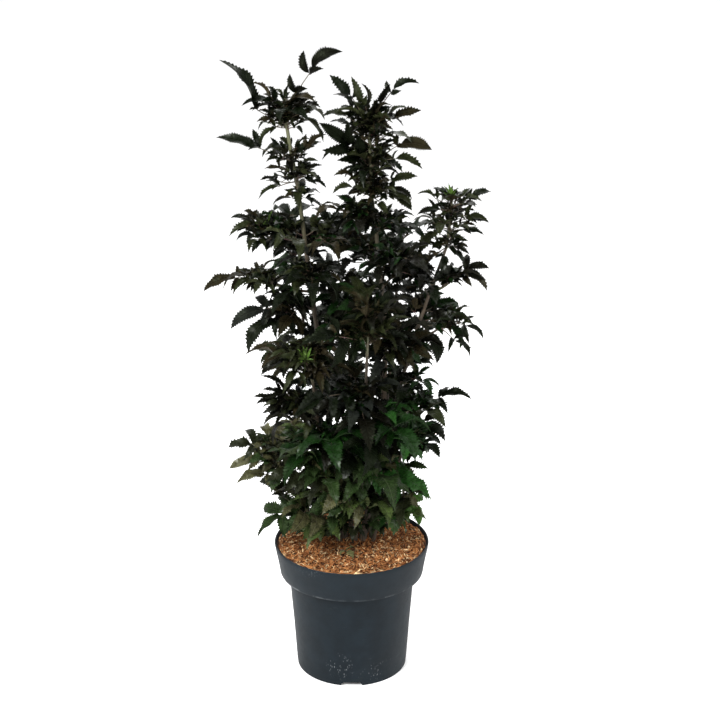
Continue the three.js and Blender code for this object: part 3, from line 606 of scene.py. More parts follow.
# How shoots and leaves grow, with the same numbers as the solids. Angles are degrees. A side is an angle
# round +Z: 0 right, 90 back, 180 left, 270 front. A slope or rise is an angle above the level.
growth = {
    "shootArch": -0.06, "shootRadius": 2.8, "shootTaper": 0.75, "boughArch": -0.05, "boughTaper": 0.85,
    "flare": 0.35, "flareFades": 22, "stemSteps": 24, "boughSteps": 8, "shootSteps": 10, "twigSteps": 4,
    "rachisRings": 7, "lastLeaf": 0.96, "leafArch": 0.12, "leafTurn": 24, "leafRoll": 26, "rachisShare": 0.48,
    "stations": (0.42, 0.9), "shares": (0.42, 0.46), "smallLeaf": 100, "reachSpread": 0.12,
    # splay and lift of the side leaflets on grown and on young leaves, and how far both spread
    "splay": (64, 50), "lift": (-14, 24), "splaySpread": 8, "liftSpread": 14, "youngLaterals": 0.8,
    "fanSpread": 56, "fanExtra": 2, "fanRise": 12, "fanDroop": 14, "fanBack": 0.4, "fanShorter": 0.1,
    "fanSideSpread": 12, "innerBack": 0.3, "innerSize": 0.72,
    "pairStart": 0.4, "pairRise": 8, "pairLift": 24, "pairShorter": 0.18, "pairSideSpread": 14,
    "riseSpread": 9, "firstSeed": 11, "seedStep": 17,
}


# The same small generator of repeatable chance as the solids use
class Chance:
    def __init__(self, seed):
        self.state = seed
        self.next()

    def next(self):
        self.state = (self.state * 1664525 + 1013904223) % 4294967296
        return self.state / 4294967296

    def spread(self, amount):
        return (self.next() * 2 - 1) * amount


def unit(v):
    return v / np.linalg.norm(v, axis=-1, keepdims=True)


# What is left of a direction square to another
def square(v, axis):
    return unit(v - axis * np.sum(v * axis, axis=-1, keepdims=True))


def alongSide(side):
    return np.array([math.cos(side * degree), math.sin(side * degree), 0.0])


def heading(side, slope):
    return alongSide(side) * math.cos(slope * degree) + upwards * math.sin(slope * degree)


def rolled(v, axis, angle):
    turned = v * math.cos(angle) + np.cross(axis, v) * math.sin(angle)
    return turned + axis * axis.dot(v) * (1 - math.cos(angle))


# Places on an arched line, at shares t of its length
def arched(start, toward, long, arch, t):
    return start + toward * long * t + upwards * 4 * t * (1 - t) * arch * long


def archedCurve(start, side, slope, long, arch, steps=growth["twigSteps"]):
    return arched(start, heading(side, slope), long, arch, np.linspace(0, 1, steps + 1)[:, None])


# The place, direction and radius on a limb at a share of its length
def placeOn(limb, share):
    points, radii = limb["points"], limb["radii"]
    at = min(max(share, 0), 1) * (len(points) - 1)
    i = min(int(at), len(points) - 2)
    step = points[i + 1] - points[i]
    return points[i] + step * (at - i), unit(step), radii[i] + (radii[i + 1] - radii[i]) * (at - i)


def atHeight(limb, height):
    heights = limb["points"][:, 2]
    return placeOn(limb, float(np.interp(height, heights, np.linspace(0, 1, len(heights)))))


# A bough or shoot, from the middle of the limb that carries it
def carriedLimb(limbs, part, radius, taper, arch, steps):
    carrier, height, side, slope = limbs[part["carrier"]], part["height"], part["side"], part["slope"]
    if height is None:
        middle, direction, _ = placeOn(carrier, 1)
        start = middle + direction * 0.5
    else:
        middle, _, thick = atHeight(carrier, height)
        out = (thick + radius * math.sin(slope * degree)) / math.cos(slope * degree)
        start = middle + heading(side, slope) * out
    return {"points": archedCurve(start, side, slope, part["long"], arch, steps), "middle": middle,
            "radii": np.linspace(radius, radius * taper, steps + 1), "across": alongSide(side + 90)}


def growLimbs():
    g, limbs = growth, {}
    t = np.linspace(0, 1, g["stemSteps"] + 1)[:, None]
    for name, (foot, tip, swing, radii) in stems.items():
        foot = np.array([*foot, stemFoot])
        points = foot + (np.array(tip) - foot) * t + np.array([*swing, 0]) * np.sin(math.pi * t)
        radii = np.linspace(*radii, len(t)) * (1 + g["flare"] * np.exp(-t[:, 0] * g["flareFades"]))
        limbs[name] = {"points": points, "radii": radii, "across": alongSide(90)}
    for name, part in boughs.items():
        limbs[name] = carriedLimb(limbs, part, part["radius"], g["boughTaper"], g["boughArch"],
                                  g["boughSteps"])
    return limbs


# All the leaves of a shoot: its own list, turned pairs, or a fan
def leafPlan(part, chance):
    g = growth
    if isinstance(part["leaves"], list):
        return part["leaves"]
    plan = []
    if "pairs" in part:
        for k in range(part["pairs"]):
            young = k / (part["pairs"] - 1)
            for opposite in (0, 180):
                side = part["turn"] + 90 * k + opposite + chance.spread(g["pairSideSpread"])
                rise = part.get("rise", g["pairRise"]) + g["pairLift"] * young
                rise += chance.spread(g["riseSpread"])
                share = g["pairStart"] + (1 - g["pairStart"]) * young
                plan.append((share, side, rise, part["leaf"] * (1 - g["pairShorter"] * young)))
        return plan
    count = part["leaves"] + g["fanExtra"]
    for k in range(count):
        out = 2 * k / (count - 1) - 1
        side = part["side"] + out * g["fanSpread"] + chance.spread(g["fanSideSpread"])
        rise = part.get("rise", g["fanRise"]) - g["fanDroop"] * abs(out) + chance.spread(g["riseSpread"])
        share = 1 - g["fanBack"] * abs(out) - (g["innerBack"] if k % 2 else 0)
        size = part["leaf"] * (1 - g["fanShorter"] * abs(out)) * (g["innerSize"] if k % 2 else 1)
        plan.append((share, side, rise, size))
    return plan


# One leaf: the curve of its rachis, and each leaflet's base, tip and upper side. A tight leaf, as the small
# ones on a sprig are, has a short rachis and larger leaflets for its length. turn rolls it about its length.
def growLeaf(base, side, rise, long, young, chance, arch=None, turn=None, laterals=1, tight=False):
    g = growth
    rachis, shares = ((sprigs if tight else g)[key] for key in ("rachisShare", "shares"))
    arch = g["leafArch"] * math.cos(2 * rise * degree) if arch is None else arch

    def at(t):
        return arched(base, heading(side, rise), long, arch, t)

    end, tip = at(rachis), at(1)
    forward = unit(end - base)
    roll = g["leafTurn"] * math.cos(side * degree) + chance.spread(g["leafRoll"])
    across = rolled(alongSide(side + 90), forward, (roll if turn is None else turn) * degree)
    upper = np.cross(forward, across)
    reach = long * laterals * (g["youngLaterals"] if young else 1)
    leaflets = []
    for k, station in enumerate(g["stations"]):
        if k == 0 and long < g["smallLeaf"]:
            continue
        for hand in (1, -1):
            splay = (g["splay"][young] + chance.spread(g["splaySpread"])) * degree
            lift = (g["lift"][young] + chance.spread(g["liftSpread"])) * degree
            outward = across * hand * math.cos(lift) + upper * math.sin(lift)
            along = forward * math.cos(splay) + outward * math.sin(splay)
            size = reach * shares[k] * (1 + chance.spread(g["reachSpread"]))
            leaflets.append((at(station * rachis), base + (end - base) * station + along * size,
                             square(upper, along)))
    leaflets.append((end, tip, unit(np.cross(unit(tip - end), across))))
    curve = at(rachis * np.linspace(0, 1, g["rachisRings"])[:, None])
    return {"curve": curve, "across": across, "leaflets": leaflets}


# The small leaves and side sprigs that the solids leave out. They keep inside their own shoot's reach.
sprigs = {
    "seed": 31, "extraSeed": 1017, "room": 7, "tipRoom": 12, "rachisShare": 0.26, "shares": (0.4, 0.56),
    "partnerShare": (0.55, 0.8), "partnerTurn": 150, "partnerSpread": 34, "partnerRise": (-10, 34),
    "perLeaf": 2.6, "topPerLeaf": 1.0, "long": (12, 30), "leaf": (0.34, 0.60), "smallest": 36, "largest": 78,
    "rise": (20, 62), "steepest": 82, "turn": 40, "arch": -0.05, "leafSpread": (-24, 24),
    "leafRise": (-18, 34),
    # a sprig's leaves: place on it and side from its own
    "places": ((2, 80), (2, -80), (4, 10), (4, 170)),
    "tuft": 5, "freshTuft": 9, "tuftLong": (16, 34), "tuftRise": (42, 84),
}
# hanging leaves round the foot of the stems: shoot, stem, height, side, rise, length, tone
hanging = [
    ("foot_front", "stem_front_middle", 322, 262, -10, 70, "blackLowLeaves"),
    ("foot_front", "stem_front_middle", 334, 304, -6, 80, "deepGreenLeaves"),
    ("foot_front", "stem_front_middle", 328, 222, -10, 84, "blackLowLeaves"),
    ("foot_front", "stem_middle", 308, 280, 4, 46, "blackLowLeaves"),
    ("foot_front", "stem_left", 306, 236, -2, 66, "deepGreenLeaves"),
    ("foot_front", "stem_front_middle", 304, 292, 4, 42, "deepGreenLeaves"),
    ("foot_right", "stem_front_right", 302, 256, 2, 44, "midGreenLeaves"),
    ("foot_front", "stem_front_middle", 304, 250, 4, 42, "blackLowLeaves"),
    ("foot_left", "stem_front_left", 312, 200, -4, 84, "deepGreenLeaves"),
    ("foot_left", "stem_front_left", 322, 240, -16, 104, "midGreenLeaves"),
    ("foot_front", "stem_front_left", 348, 268, -4, 92, "deepGreenLeaves"),
    ("foot_right", "stem_front_right", 306, 330, 4, 64, "deepGreenLeaves"),
    ("foot_right", "stem_front_right", 326, 280, -8, 76, "blackLowLeaves"),
    ("foot_left", "stem_back_left", 330, 176, -12, 118, "deepGreenLeaves"),
    ("foot_back", "stem_back_middle", 306, 96, -4, 96, "deepGreenLeaves"),
    ("foot_back", "stem_back_right", 320, 30, -4, 96, "blackLowLeaves"),
]
# twigs that show in front: shoot, stem, height, side, slope, length, then tones and their leaves' side,
# rise and length
frontTwigs = [
    ("front_left_top", "stem_front_left", 636, 257, 50, 84, [
        ("freshTips", (20, 66, 30), (110, 60, 26), (184, 62, 30), (262, 56, 24), (300, 76, 33), (340, 50, 22),
         (210, 80, 34), (150, 76, 26)),
        ("oliveLeaves", (236, -14, 34), (312, -6, 34), (176, 10, 52)),
    ]),
    ("foot_right", "stem_front_right", 326, 340, 54, 84, [
        ("freshLowLeaves", (330, -60, 74), (4, -30, 60)), ("midGreenLeaves", (262, -40, 56)),
        ("freshLowLeaves", (300, -74, 60), (346, -62, 84)),
    ]),
    ("foot_left", "stem_front_left", 322, 214, 30, 46, [
        ("midGreenLeaves", (236, -40, 62)), ("deepGreenLeaves", (186, -36, 82)),
        ("midGreenLeaves", (276, -50, 58)),
    ]),
]
# a leaf that has dropped on the mulch: place, side and length
fallen = ((-22, -44, 269), 306, 44)
# small sprigs straight from the stems, in opposite pairs
stemSprigs = {
    "seed": 900, "gap": 58, "jitter": 9, "lowest": 330, "turn": 28, "slope": (10, 60), "long": (8, 22),
    "ways": (-64, 0, 64), "rise": (-30, 46), "leaf": (38, 70),
}


# The growing plant: the shoots' stalks, the leaves and the sprigs' twigs
class Plant:
    def __init__(self, limbs):
        self.limbs, self.stalks, self.leaves, self.twigs = limbs, [], [], []
        for index, (name, part) in enumerate(shoots.items()):
            self.growShoot(index, name, part)
        self.growFoot()
        self.growStemSprigs()

    def keep(self, leaf, shoot, small=False, tone=None, fresh=False):
        self.leaves.append({**leaf, "node": f"foliage_{shoot}", "small": small, "tone": tone, "fresh": fresh})

    def keepTwig(self, points, side):
        self.twigs.append({"points": points, "across": alongSide(side + 90)})

    def growShoot(self, index, name, part):
        g, s = growth, sprigs
        rng = np.random.default_rng(s["seed"] + index)
        seed = g["firstSeed"] + index * g["seedStep"]
        chance, extra = Chance(seed), Chance(seed + s["extraSeed"])
        radius, young = part.get("radius", g["shootRadius"]), part.get("young", False)
        stalk = carriedLimb(self.limbs, part, radius, g["shootTaper"], g["shootArch"], g["shootSteps"])
        self.stalks.append(stalk)
        low, high = (np.array(corner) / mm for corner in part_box(f"foliage_{name}"))

        def keepInside(leaf, above=0, **kind):
            tips = np.array([tip for _, tip, _ in leaf["leaflets"]])
            inside = np.all(tips > low - s["room"]) and np.all(tips < high + s["room"] + above)
            if inside:
                self.keep(leaf, name, True, **kind)
            return inside

        for share, side, rise, long, *more in leafPlan(part, chance):
            base, _, _ = placeOn(stalk, share * g["lastLeaf"])
            self.keep(growLeaf(base, side, rise, long, young, chance, *more), name)
            # a smaller leaf on the other side of the stalk
            turn = side + s["partnerTurn"] + rng.uniform(-1, 1) * s["partnerSpread"]
            size = long * rng.uniform(*s["partnerShare"])
            keepInside(growLeaf(base, turn, rise * 0.5 + rng.uniform(*s["partnerRise"]), size, True, extra))
            # sprigs in the axil
            count = part.get("sprigs", s["topPerLeaf" if young else "perLeaf"])
            for _ in range(int(count + rng.random())):
                own = side + rng.uniform(-1, 1) * s["turn"]
                slope = min(rise + rng.uniform(*s["rise"]), s["steepest"])
                twig = archedCurve(base, own, slope, rng.uniform(*s["long"]), s["arch"])
                kept = []
                for at, opposite in s["places"]:
                    size = np.clip(long * rng.uniform(*s["leaf"]), s["smallest"], s["largest"])
                    way = own + opposite + rng.uniform(*s["leafSpread"])
                    slant = rng.uniform(*s["leafRise"])
                    kept.append(keepInside(growLeaf(twig[at], way, slant, size, True, extra, tight=True)))
                if any(kept):
                    self.keepTwig(twig, own)
        # unfolding leaves at the tip of the shoot
        bigger, share, tone = freshShoots.get(name, (1, 1, None))
        base, _, _ = placeOn(stalk, share)
        for _ in range(s["freshTuft"] if tone else s["tuft"]):
            turn = rng.uniform(0, 360)
            size = rng.uniform(*s["tuftLong"]) * bigger
            leaf = growLeaf(base, turn, rng.uniform(*s["tuftRise"]), size, True, extra, s["arch"], tight=True)
            keepInside(leaf, s["tipRoom"], tone=tone, fresh=bool(tone))

    def growFoot(self):
        chance = Chance(growth["firstSeed"] + len(shoots) * growth["seedStep"])
        for shoot, stem, height, side, rise, long, tone in hanging:
            base, _, _ = atHeight(self.limbs[stem], height)
            self.keep(growLeaf(base, side, rise, long, False, chance), shoot, tone=tone)
        for shoot, stem, height, side, slope, far, grown in frontTwigs:
            base, _, _ = atHeight(self.limbs[stem], height)
            twig = archedCurve(base, side, slope, far, 0.05)
            self.keepTwig(twig, side)
            for tone, *rows in grown:
                for way, rise, long in rows:
                    leaf = growLeaf(twig[-1], way, rise, long, False, chance, tight=True)
                    self.keep(leaf, shoot, tone=tone, fresh=tone == "freshTips")
        base, side, long = fallen
        self.keep(growLeaf(np.array(base), side, 2, long, False, chance), "foot_front", tone="fallenLeaf")

    def growStemSprigs(self):
        s = stemSprigs
        rng = np.random.default_rng(s["seed"])
        chance = Chance(s["seed"])
        for name in stems:
            limb = self.limbs[name]
            carried = [shoot for shoot, part in shoots.items() if part["carrier"] == name and part["height"]]
            turn = rng.uniform(0, 180)
            for height in np.arange(s["lowest"], limb["points"][-1][2] - s["gap"] / 2, s["gap"]):
                near = min(carried, key=lambda shoot: abs(shoots[shoot]["height"] - height))
                base, _, _ = atHeight(limb, height + rng.uniform(-s["jitter"], s["jitter"]))
                turn += 90 + rng.uniform(-1, 1) * s["turn"]
                for side in (turn, turn + 180):
                    slope, far = rng.uniform(*s["slope"]), rng.uniform(*s["long"])
                    twig = archedCurve(base, side, slope, far, sprigs["arch"])
                    self.keepTwig(twig, side)
                    for way in s["ways"]:
                        way += side + rng.uniform(-1, 1) * s["turn"]
                        size, slant = rng.uniform(*s["leaf"]), rng.uniform(*s["rise"])
                        leaf = growLeaf(twig[-1], way, slant, size, True, chance, tight=True)
                        self.keep(leaf, near, True)


# A closed tube of rings, which copies of it bend along a curve
def tubeShape(sides, rings):
    bm = bmesh.new()
    bmesh.ops.create_cone(bm, cap_ends=True, segments=sides, radius1=1, radius2=1, depth=1)
    uprights = [e for e in bm.edges if abs(e.verts[0].co.z - e.verts[1].co.z) > 0.5]
    bmesh.ops.subdivide_edges(bm, edges=uprights, cuts=rings - 2)
    return Shape(bm)


# Bends copies of a tube. curves is copies by rings by 3, radii copies by rings, across copies by 3.
def bendTubes(shape, curves, radii, across):
    curves, radii = np.array(curves), np.array(radii)
    ahead = unit(np.gradient(curves, axis=1))
    sideways = square(np.array(across)[:, None], ahead)
    upper = np.cross(ahead, sideways)
    x, y, z = shape.points.T
    ring = np.round((z + 0.5) * (curves.shape[1] - 1)).astype(int)
    x, y = x[:, None], y[:, None]
    return curves[:, ring] + radii[:, ring, None] * (sideways[:, ring] * x + upper[:, ring] * y)


def resampled(values, count):
    old, new = np.linspace(0, 1, len(values)), np.linspace(0, 1, count)
    return np.apply_along_axis(lambda column: np.interp(new, old, column), 0, values)


# The stems and boughs: bark with ridges, and a swelling wherever a pair of leaves once stood
woodPlan = {
    "sides": 18, "rings": 96, "boughSides": 14, "boughRings": 24, "slim": 0.82, "ridge": 0.07, "lump": 0.05,
    "nodeGap": 84, "nodeSwell": 0.16, "nodeHalf": 3.4, "sunk": 0.35, "footWider": 1.12,
    "grey": (0.050, 0.040, 0.028), "tan": (0.084, 0.059, 0.036), "dark": (0.014, 0.010, 0.007),
    "green": (0.046, 0.052, 0.020), "pore": (0.15, 0.12, 0.085), "greenFrom": 0.84, "greenLeftOf": 0.06,
}


def woodFinish():
    w = woodPlan
    wood = Finish("elderBark")
    streak = wood.noise(260, 4, (1, 1, 0.10))
    patch = wood.noise(24, 3, (1, 1, 0.45))
    base = wood.mix(patch.step(0.35, 0.65), w["grey"], w["tan"])
    base = wood.mix(streak.step(0.42, 0.7) * 0.75, base, w["dark"])
    # the tall left stem and the middle one are still green near the top
    x, _, z = wood.axes(wood.place())
    high = (z - w["greenFrom"]).step(0.0, 0.12) * (1 - (x - w["greenLeftOf"]).step(0.0, 0.05))
    base = wood.mix(high * patch.step(0.2, 0.7), base, w["green"])
    pore = (1 - wood.cells(330, (1, 1, 0.45)).step(0.10, 0.22)) * wood.noise(70, 2).step(0.5, 0.6)
    base = wood.mix(pore * 0.6, base, w["pore"])
    height = streak * 0.7 + pore * 0.5
    return wood.done(Base_Color=base, Roughness=0.72 + streak * 0.16, Normal=wood.bump(height, 0.5, 0.0012))


def barked(limb, rings, shape):
    w = woodPlan
    points, radii = resampled(limb["points"], rings), resampled(limb["radii"], rings)
    if "middle" in limb:
        points[0] = limb["middle"]
    run = np.linspace(0, np.linalg.norm(np.diff(points, axis=0), axis=1).sum(), rings)
    gap = (run + w["nodeGap"] / 2) % w["nodeGap"] - w["nodeGap"] / 2
    radii = radii * w["slim"] * (1 + w["nodeSwell"] * np.exp(-((gap / w["nodeHalf"]) ** 2)))
    places = bendTubes(shape, [points], [radii], [limb["across"]])[0]
    for i, (x, y, z) in enumerate(shape.points):
        ring = round((z + 0.5) * (rings - 1))
        turn = Vector((x * 2.2, y * 2.2, run[ring] / 26 + limb["radii"][0] * 7))
        lump = noise.noise(Vector((x, y, run[ring] / 11 + 40)))
        places[i] += (places[i] - points[ring]) * (w["ridge"] * noise.noise(turn * 1.6) + w["lump"] * lump)
    return places[None]


def makeWood(limbs):
    w = woodPlan
    tall, short = tubeShape(w["sides"], w["rings"]), tubeShape(w["boughSides"], w["boughRings"])
    rows = []
    for name, limb in limbs.items():
        shape, rings = (tall, w["rings"]) if name in stems else (short, w["boughRings"])
        if name in stems:
            # the foot goes on down into the mulch
            points, radii = limb["points"], limb["radii"]
            first = points[0] - (points[1] - points[0]) * w["sunk"]
            limb = {**limb, "points": np.vstack([first, points]),
                    "radii": np.append(radii[0] * w["footWider"], radii)}
        rows.append((shape, barked(limb, rings, shape) * mm, None))
    carry(joinCopies("woodyStems", rows, [woodFinish()]), list(limbs))


# The green wood: the stalks of the shoots, the sprigs' twigs, and the leaves' rachises
stalkPlan = {
    "sides": 10, "rings": 16, "nodes": 4, "nodeSwell": 0.14, "nodeHalf": 0.14, "end": (0.8, 0.35),
    "twigSides": 5, "twig": (1.15, 0.69), "rachis": (1.35, 0.75), "smallRachis": (0.8, 0.42), "socket": 1.5,
    "olive": (0.075, 0.078, 0.036), "maroon": (0.042, 0.012, 0.014), "brown": (0.052, 0.040, 0.022),
    "red": (0.062, 0.013, 0.016),
}


def stalkFinish(name, first, second, scale):
    skin = Finish(name)
    base = skin.mix(skin.noise(scale, 3).step(0.5, 0.72), first, second)
    fine = skin.noise(420, 3, (1, 1, 0.3))
    return skin.done(Base_Color=base, Roughness=0.48 + fine * 0.2, Normal=skin.bump(fine, 0.25, 0.0006))


def makeStalks(plant):
    p = stalkPlan

    def tubes(sides, curves, radii, owners):
        shape = tubeShape(sides, len(curves[0]))
        return shape, bendTubes(shape, curves, radii, [owner["across"] for owner in owners]) * mm, None

    curves, radii = [], []
    run = np.linspace(0, 1, p["rings"])
    swell = 1 + p["nodeSwell"] * np.exp(-((run * p["nodes"] % 1 - 0.5) / p["nodeHalf"]) ** 2)
    for stalk in plant.stalks:
        curves.append(resampled(np.vstack([stalk["middle"], stalk["points"]]), p["rings"]))
        radii.append(resampled(np.append(stalk["radii"][0], stalk["radii"]), p["rings"]) * swell)
        radii[-1][-2:] *= p["end"]
    rows = [tubes(p["sides"], curves, radii, plant.stalks)]
    finish = stalkFinish("greenWood", p["olive"], p["maroon"], 34)
    carry(joinCopies("shootStalks", rows, [finish]))
    radii = np.array([np.linspace(*p["smallRachis" if leaf["small"] else "rachis"], growth["rachisRings"])
                      for leaf in plant.leaves])
    radii[:, 0] *= p["socket"]
    twigRadii = [np.linspace(*p["twig"], growth["twigSteps"] + 1)] * len(plant.twigs)
    rows = [tubes(p["twigSides"], [leaf["curve"] for leaf in plant.leaves], radii, plant.leaves),
            tubes(p["twigSides"], [twig["points"] for twig in plant.twigs], twigRadii, plant.twigs)]
    finish = stalkFinish("leafStalk", p["brown"], p["red"], 60)
    carry(joinCopies("leafStalks", rows, [finish]))


# A leaflet blade lies along +Y from 0 to 1, and X is its half width. The upper and the under side share
# their margins. Each margin edge is cut once, and the new point is pushed out as a tooth.
bladePlan = {
    "widest": 0.70, "drawnOut": 1.12, "toothAhead": 0.55, "notch": 0.91, "thick": 0.008, "bunched": 1.06,
    "fullTeeth": 1.6,
    # kinds of blade: teeth a side, their size, and the least length
    "kinds": {"fine": (18, 0.18, 56), "large": (15, 0.22, 56), "middle": (10, 0.26, 32),
              "small": (7, 0.26, 0)},
    "variants": 3, "firstVariant": 3, "uneven": 0.5, "ahead": (0.7, 1.2), "waves": 2.2, "waveShift": 0.3,
    "seed": 77, "twist": 44, "twistFrom": 0.25, "sway": 0.08, "stray": 0.08,
}
bendNames = ("wide", "fold", "arch", "cup", "wave")
# how the blades of each place are bent, from and to for each of those names
bladeBends = {
    "top": ((0.35, 0.47), (16, 44), (0.10, 0.24), (0, 0.3), (0.06, 0.18)),
    "crown": ((0.34, 0.46), (12, 44), (0.14, 0.30), (0, 0.4), (0.06, 0.20)),
    "low": ((0.37, 0.51), (4, 34), (0.12, 0.40), (-0.2, 0.7), (0.10, 0.34)),
    "bronze": ((0.25, 0.38), (16, 50), (0.14, 0.34), (0, 0.4), (0.08, 0.28)),
    "fresh": ((0.20, 0.28), (14, 40), (0.02, 0.10), (0, 0.2), (0.04, 0.10)),
    "small": ((0.32, 0.46), (14, 46), (0.08, 0.28), (0, 0.3), (0.06, 0.22)),
}


def halfWidth(u):
    b = bladePlan
    best = b["widest"] / (b["widest"] + b["drawnOut"])
    return (u / best) ** b["widest"] * ((1 - u) / (1 - best)) ** b["drawnOut"]


def bladeShape(teeth, tooth, seed):
    b = bladePlan
    rng = np.random.default_rng(seed)
    bm = bmesh.new()
    bmesh.ops.create_grid(bm, x_segments=2, y_segments=teeth, size=0.5)
    for v in bm.verts:
        v.co.x *= 2
        v.co.y = (v.co.y + 0.5) ** b["bunched"]
    margin = [e for e in bm.edges if all(abs(v.co.x) > 0.9 for v in e.verts)]
    tips = set(bmesh.ops.subdivide_edges(bm, edges=margin, cuts=1)["geom_inner"])
    for v in bm.verts:
        reach = halfWidth(v.co.y)
        if v in tips:
            v.co.x *= reach + tooth * min(1, reach * b["fullTeeth"]) * (1 + rng.uniform(-1, 1) * b["uneven"])
            v.co.y += b["toothAhead"] / teeth * (1 - v.co.y) * rng.uniform(*b["ahead"])
        else:
            v.co.x *= reach * b["notch"]
    upper = bm.faces[:]
    copy = bmesh.ops.duplicate(bm, geom=bm.verts[:] + bm.edges[:] + bm.faces[:])["geom"]
    under = only(copy, bmesh.types.BMFace)
    bmesh.ops.reverse_faces(bm, faces=under)
    for side, faces in enumerate((upper, under)):
        for f in faces:
            f.material_index = side
            for v in f.verts:
                if abs(v.co.x) < 1e-6 and 0.001 < v.co.y < 0.999:
                    v.co.z = -b["thick"] if side else b["thick"]
    bmesh.ops.remove_doubles(bm, verts=bm.verts, dist=1e-5)
    return Shape(bm)


# Copies of a blade, bent one by one: rows of base, tip, upper side and the bends' sizes
def bendBlades(shape, base, tip, upper, size):
    b = bladePlan
    x, y, z = shape.points.T
    long = np.linalg.norm(tip - base, axis=1)[:, None]
    along = (tip - base) / long
    upper = square(upper, along)
    across = np.cross(along, upper)[:, None]
    along, upper = along[:, None], upper[:, None]
    lean = (size["arch"] * 4 * (1 - 2 * y))[..., None]
    bulge = 4 * y * (1 - y) * long
    twist = (size["twist"] * (y - b["twistFrom"]) * degree)[..., None]
    side = across * np.cos(twist) + unit(upper - along * lean) * np.sin(twist)
    normal = unit(np.cross(side, along + upper * lean))
    half = long * size["wide"] / 2
    fold = size["fold"] * degree
    turns = b["waves"] * y + size["phase"] + b["waveShift"] * np.sign(x)
    lift = np.abs(x) * (np.sin(fold) + size["wave"] * np.sin(2 * math.pi * turns)) - size["cup"] * x * x * 0.5
    reaches = ((along, y * long), (upper, size["arch"] * bulge), (across, size["sway"] * bulge),
               (side, x * half * np.cos(fold)), (normal, half * lift + z * long))
    return base[:, None] + sum(way * reach[..., None] for way, reach in reaches)


# The leaves are dealt out to a few tones: nearly black ones, bronze and olive ones that catch the light,
# dealt most to the top shoots and some outer ones, their lighter colour partly their own and partly painted
# light, and green ones near the foot and at the growing tips
leafTones = {
    # name: slot, then the upper side, under side and veins in ten-thousandths
    "purpleBlackLeaves": ("leaf", (14, 12, 7), (48, 43, 23), (44, 37, 23)),
    "greenBlackLeaves": ("leaf", (11, 21, 6), (43, 62, 22), (34, 54, 19)),
    "darkGreenLeaves": ("leaf", (24, 100, 15), (88, 200, 58), (80, 200, 52)),
    "leafGreenLeaves": ("leaf", (62, 260, 38), (150, 400, 95), (170, 460, 110)),
    # a grey tone dealt through the crown as a painted sheen: the grey gloss of some leaves is painted into
    # their colour
    "greySheenLeaves": ("leaf", (62, 72, 62), (120, 132, 104), (130, 145, 112)),
    "bronzeLeaves": ("leaf", (100, 78, 34), (240, 190, 100), (210, 160, 80)),
    "oliveLeaves": ("leaf", (84, 104, 34), (230, 262, 112), (190, 220, 88)),
    "freshTips": ("leaf", (560, 1050, 180), (900, 1500, 360), (1000, 1700, 400)),
    "deepGreenLeaves": ("low_leaf", (104, 206, 54), (250, 375, 140), (300, 450, 180)),
    "midGreenLeaves": ("low_leaf", (310, 470, 120), (530, 670, 250), (620, 820, 320)),
    "oliveLowLeaves": ("low_leaf", (340, 335, 142), (620, 600, 330), (660, 630, 340)),
    "blackLowLeaves": ("low_leaf", (60, 72, 28), (140, 160, 75), (120, 140, 65)),
    "freshLowLeaves": ("low_leaf", (270, 640, 100), (500, 850, 260), (560, 1000, 300)),
    "fallenLeaf": ("low_leaf", (900, 880, 360), (1100, 1080, 520), (1200, 1150, 560)),
}
tonesByPlace = {
    # place: tones and shares
    # the top and the bronze places get more olive and bronze leaves: partly their own colour, partly painted
    # light where the leaves catch the light
    "top": {"oliveLeaves": 0.36, "bronzeLeaves": 0.16, "purpleBlackLeaves": 0.24, "greenBlackLeaves": 0.24},
    "crown": {"oliveLeaves": 0.09, "bronzeLeaves": 0.10, "purpleBlackLeaves": 0.31, "greenBlackLeaves": 0.28,
              "darkGreenLeaves": 0.13, "greySheenLeaves": 0.09},
    "bronze": {"oliveLeaves": 0.30, "bronzeLeaves": 0.26, "purpleBlackLeaves": 0.20,
               "greenBlackLeaves": 0.24},
    "green": {"oliveLeaves": 0.08, "darkGreenLeaves": 0.36, "leafGreenLeaves": 0.22,
              "purpleBlackLeaves": 0.10, "greenBlackLeaves": 0.24},
    "fresh": {"midGreenLeaves": 0.24, "deepGreenLeaves": 0.42, "leafGreenLeaves": 0.14,
              "blackLowLeaves": 0.20},
    "brown": {"oliveLowLeaves": 0.40, "blackLowLeaves": 0.40, "deepGreenLeaves": 0.20},
    "low": {"deepGreenLeaves": 0.34, "midGreenLeaves": 0.15, "blackLowLeaves": 0.31, "oliveLowLeaves": 0.20},
}
shootPlaces = {
    "top": ("left_top", "middle_top", "right_top"),
    "bronze": ("front_left_top", "front_left_a", "left_outer", "right_outer", "front_middle_top"),
    "green": ("front_middle_b", "front_left_b", "front_right_top", "right_e", "right_d"),
    "low": ("front_left_c", "back_left_b", "back_right_b", "foot_left", "foot_front", "foot_back"),
    "brown": ("low_left_outer", "front_right_a"),
    "fresh": ("foot_right", "front_middle_c"),
}
# shoots with young leaves at the tip: how large, how far along the shoot, and their tone
freshShoots = {
    "left_a": (1.3, 1, "freshTips"), "right_top": (1.4, 1, "freshTips"),
    "front_middle_top": (2.0, 0.6, "oliveLeaves"),
}
leafLooks = {"gloss": {"leaf": 0.28, "low_leaf": 0.6}, "underGloss": 0.5, "rough": (0.36, 0.58),
             "dark": 0.26, "light": 2.15, "tint": (0.8, 0.95, 0.62, 1)}


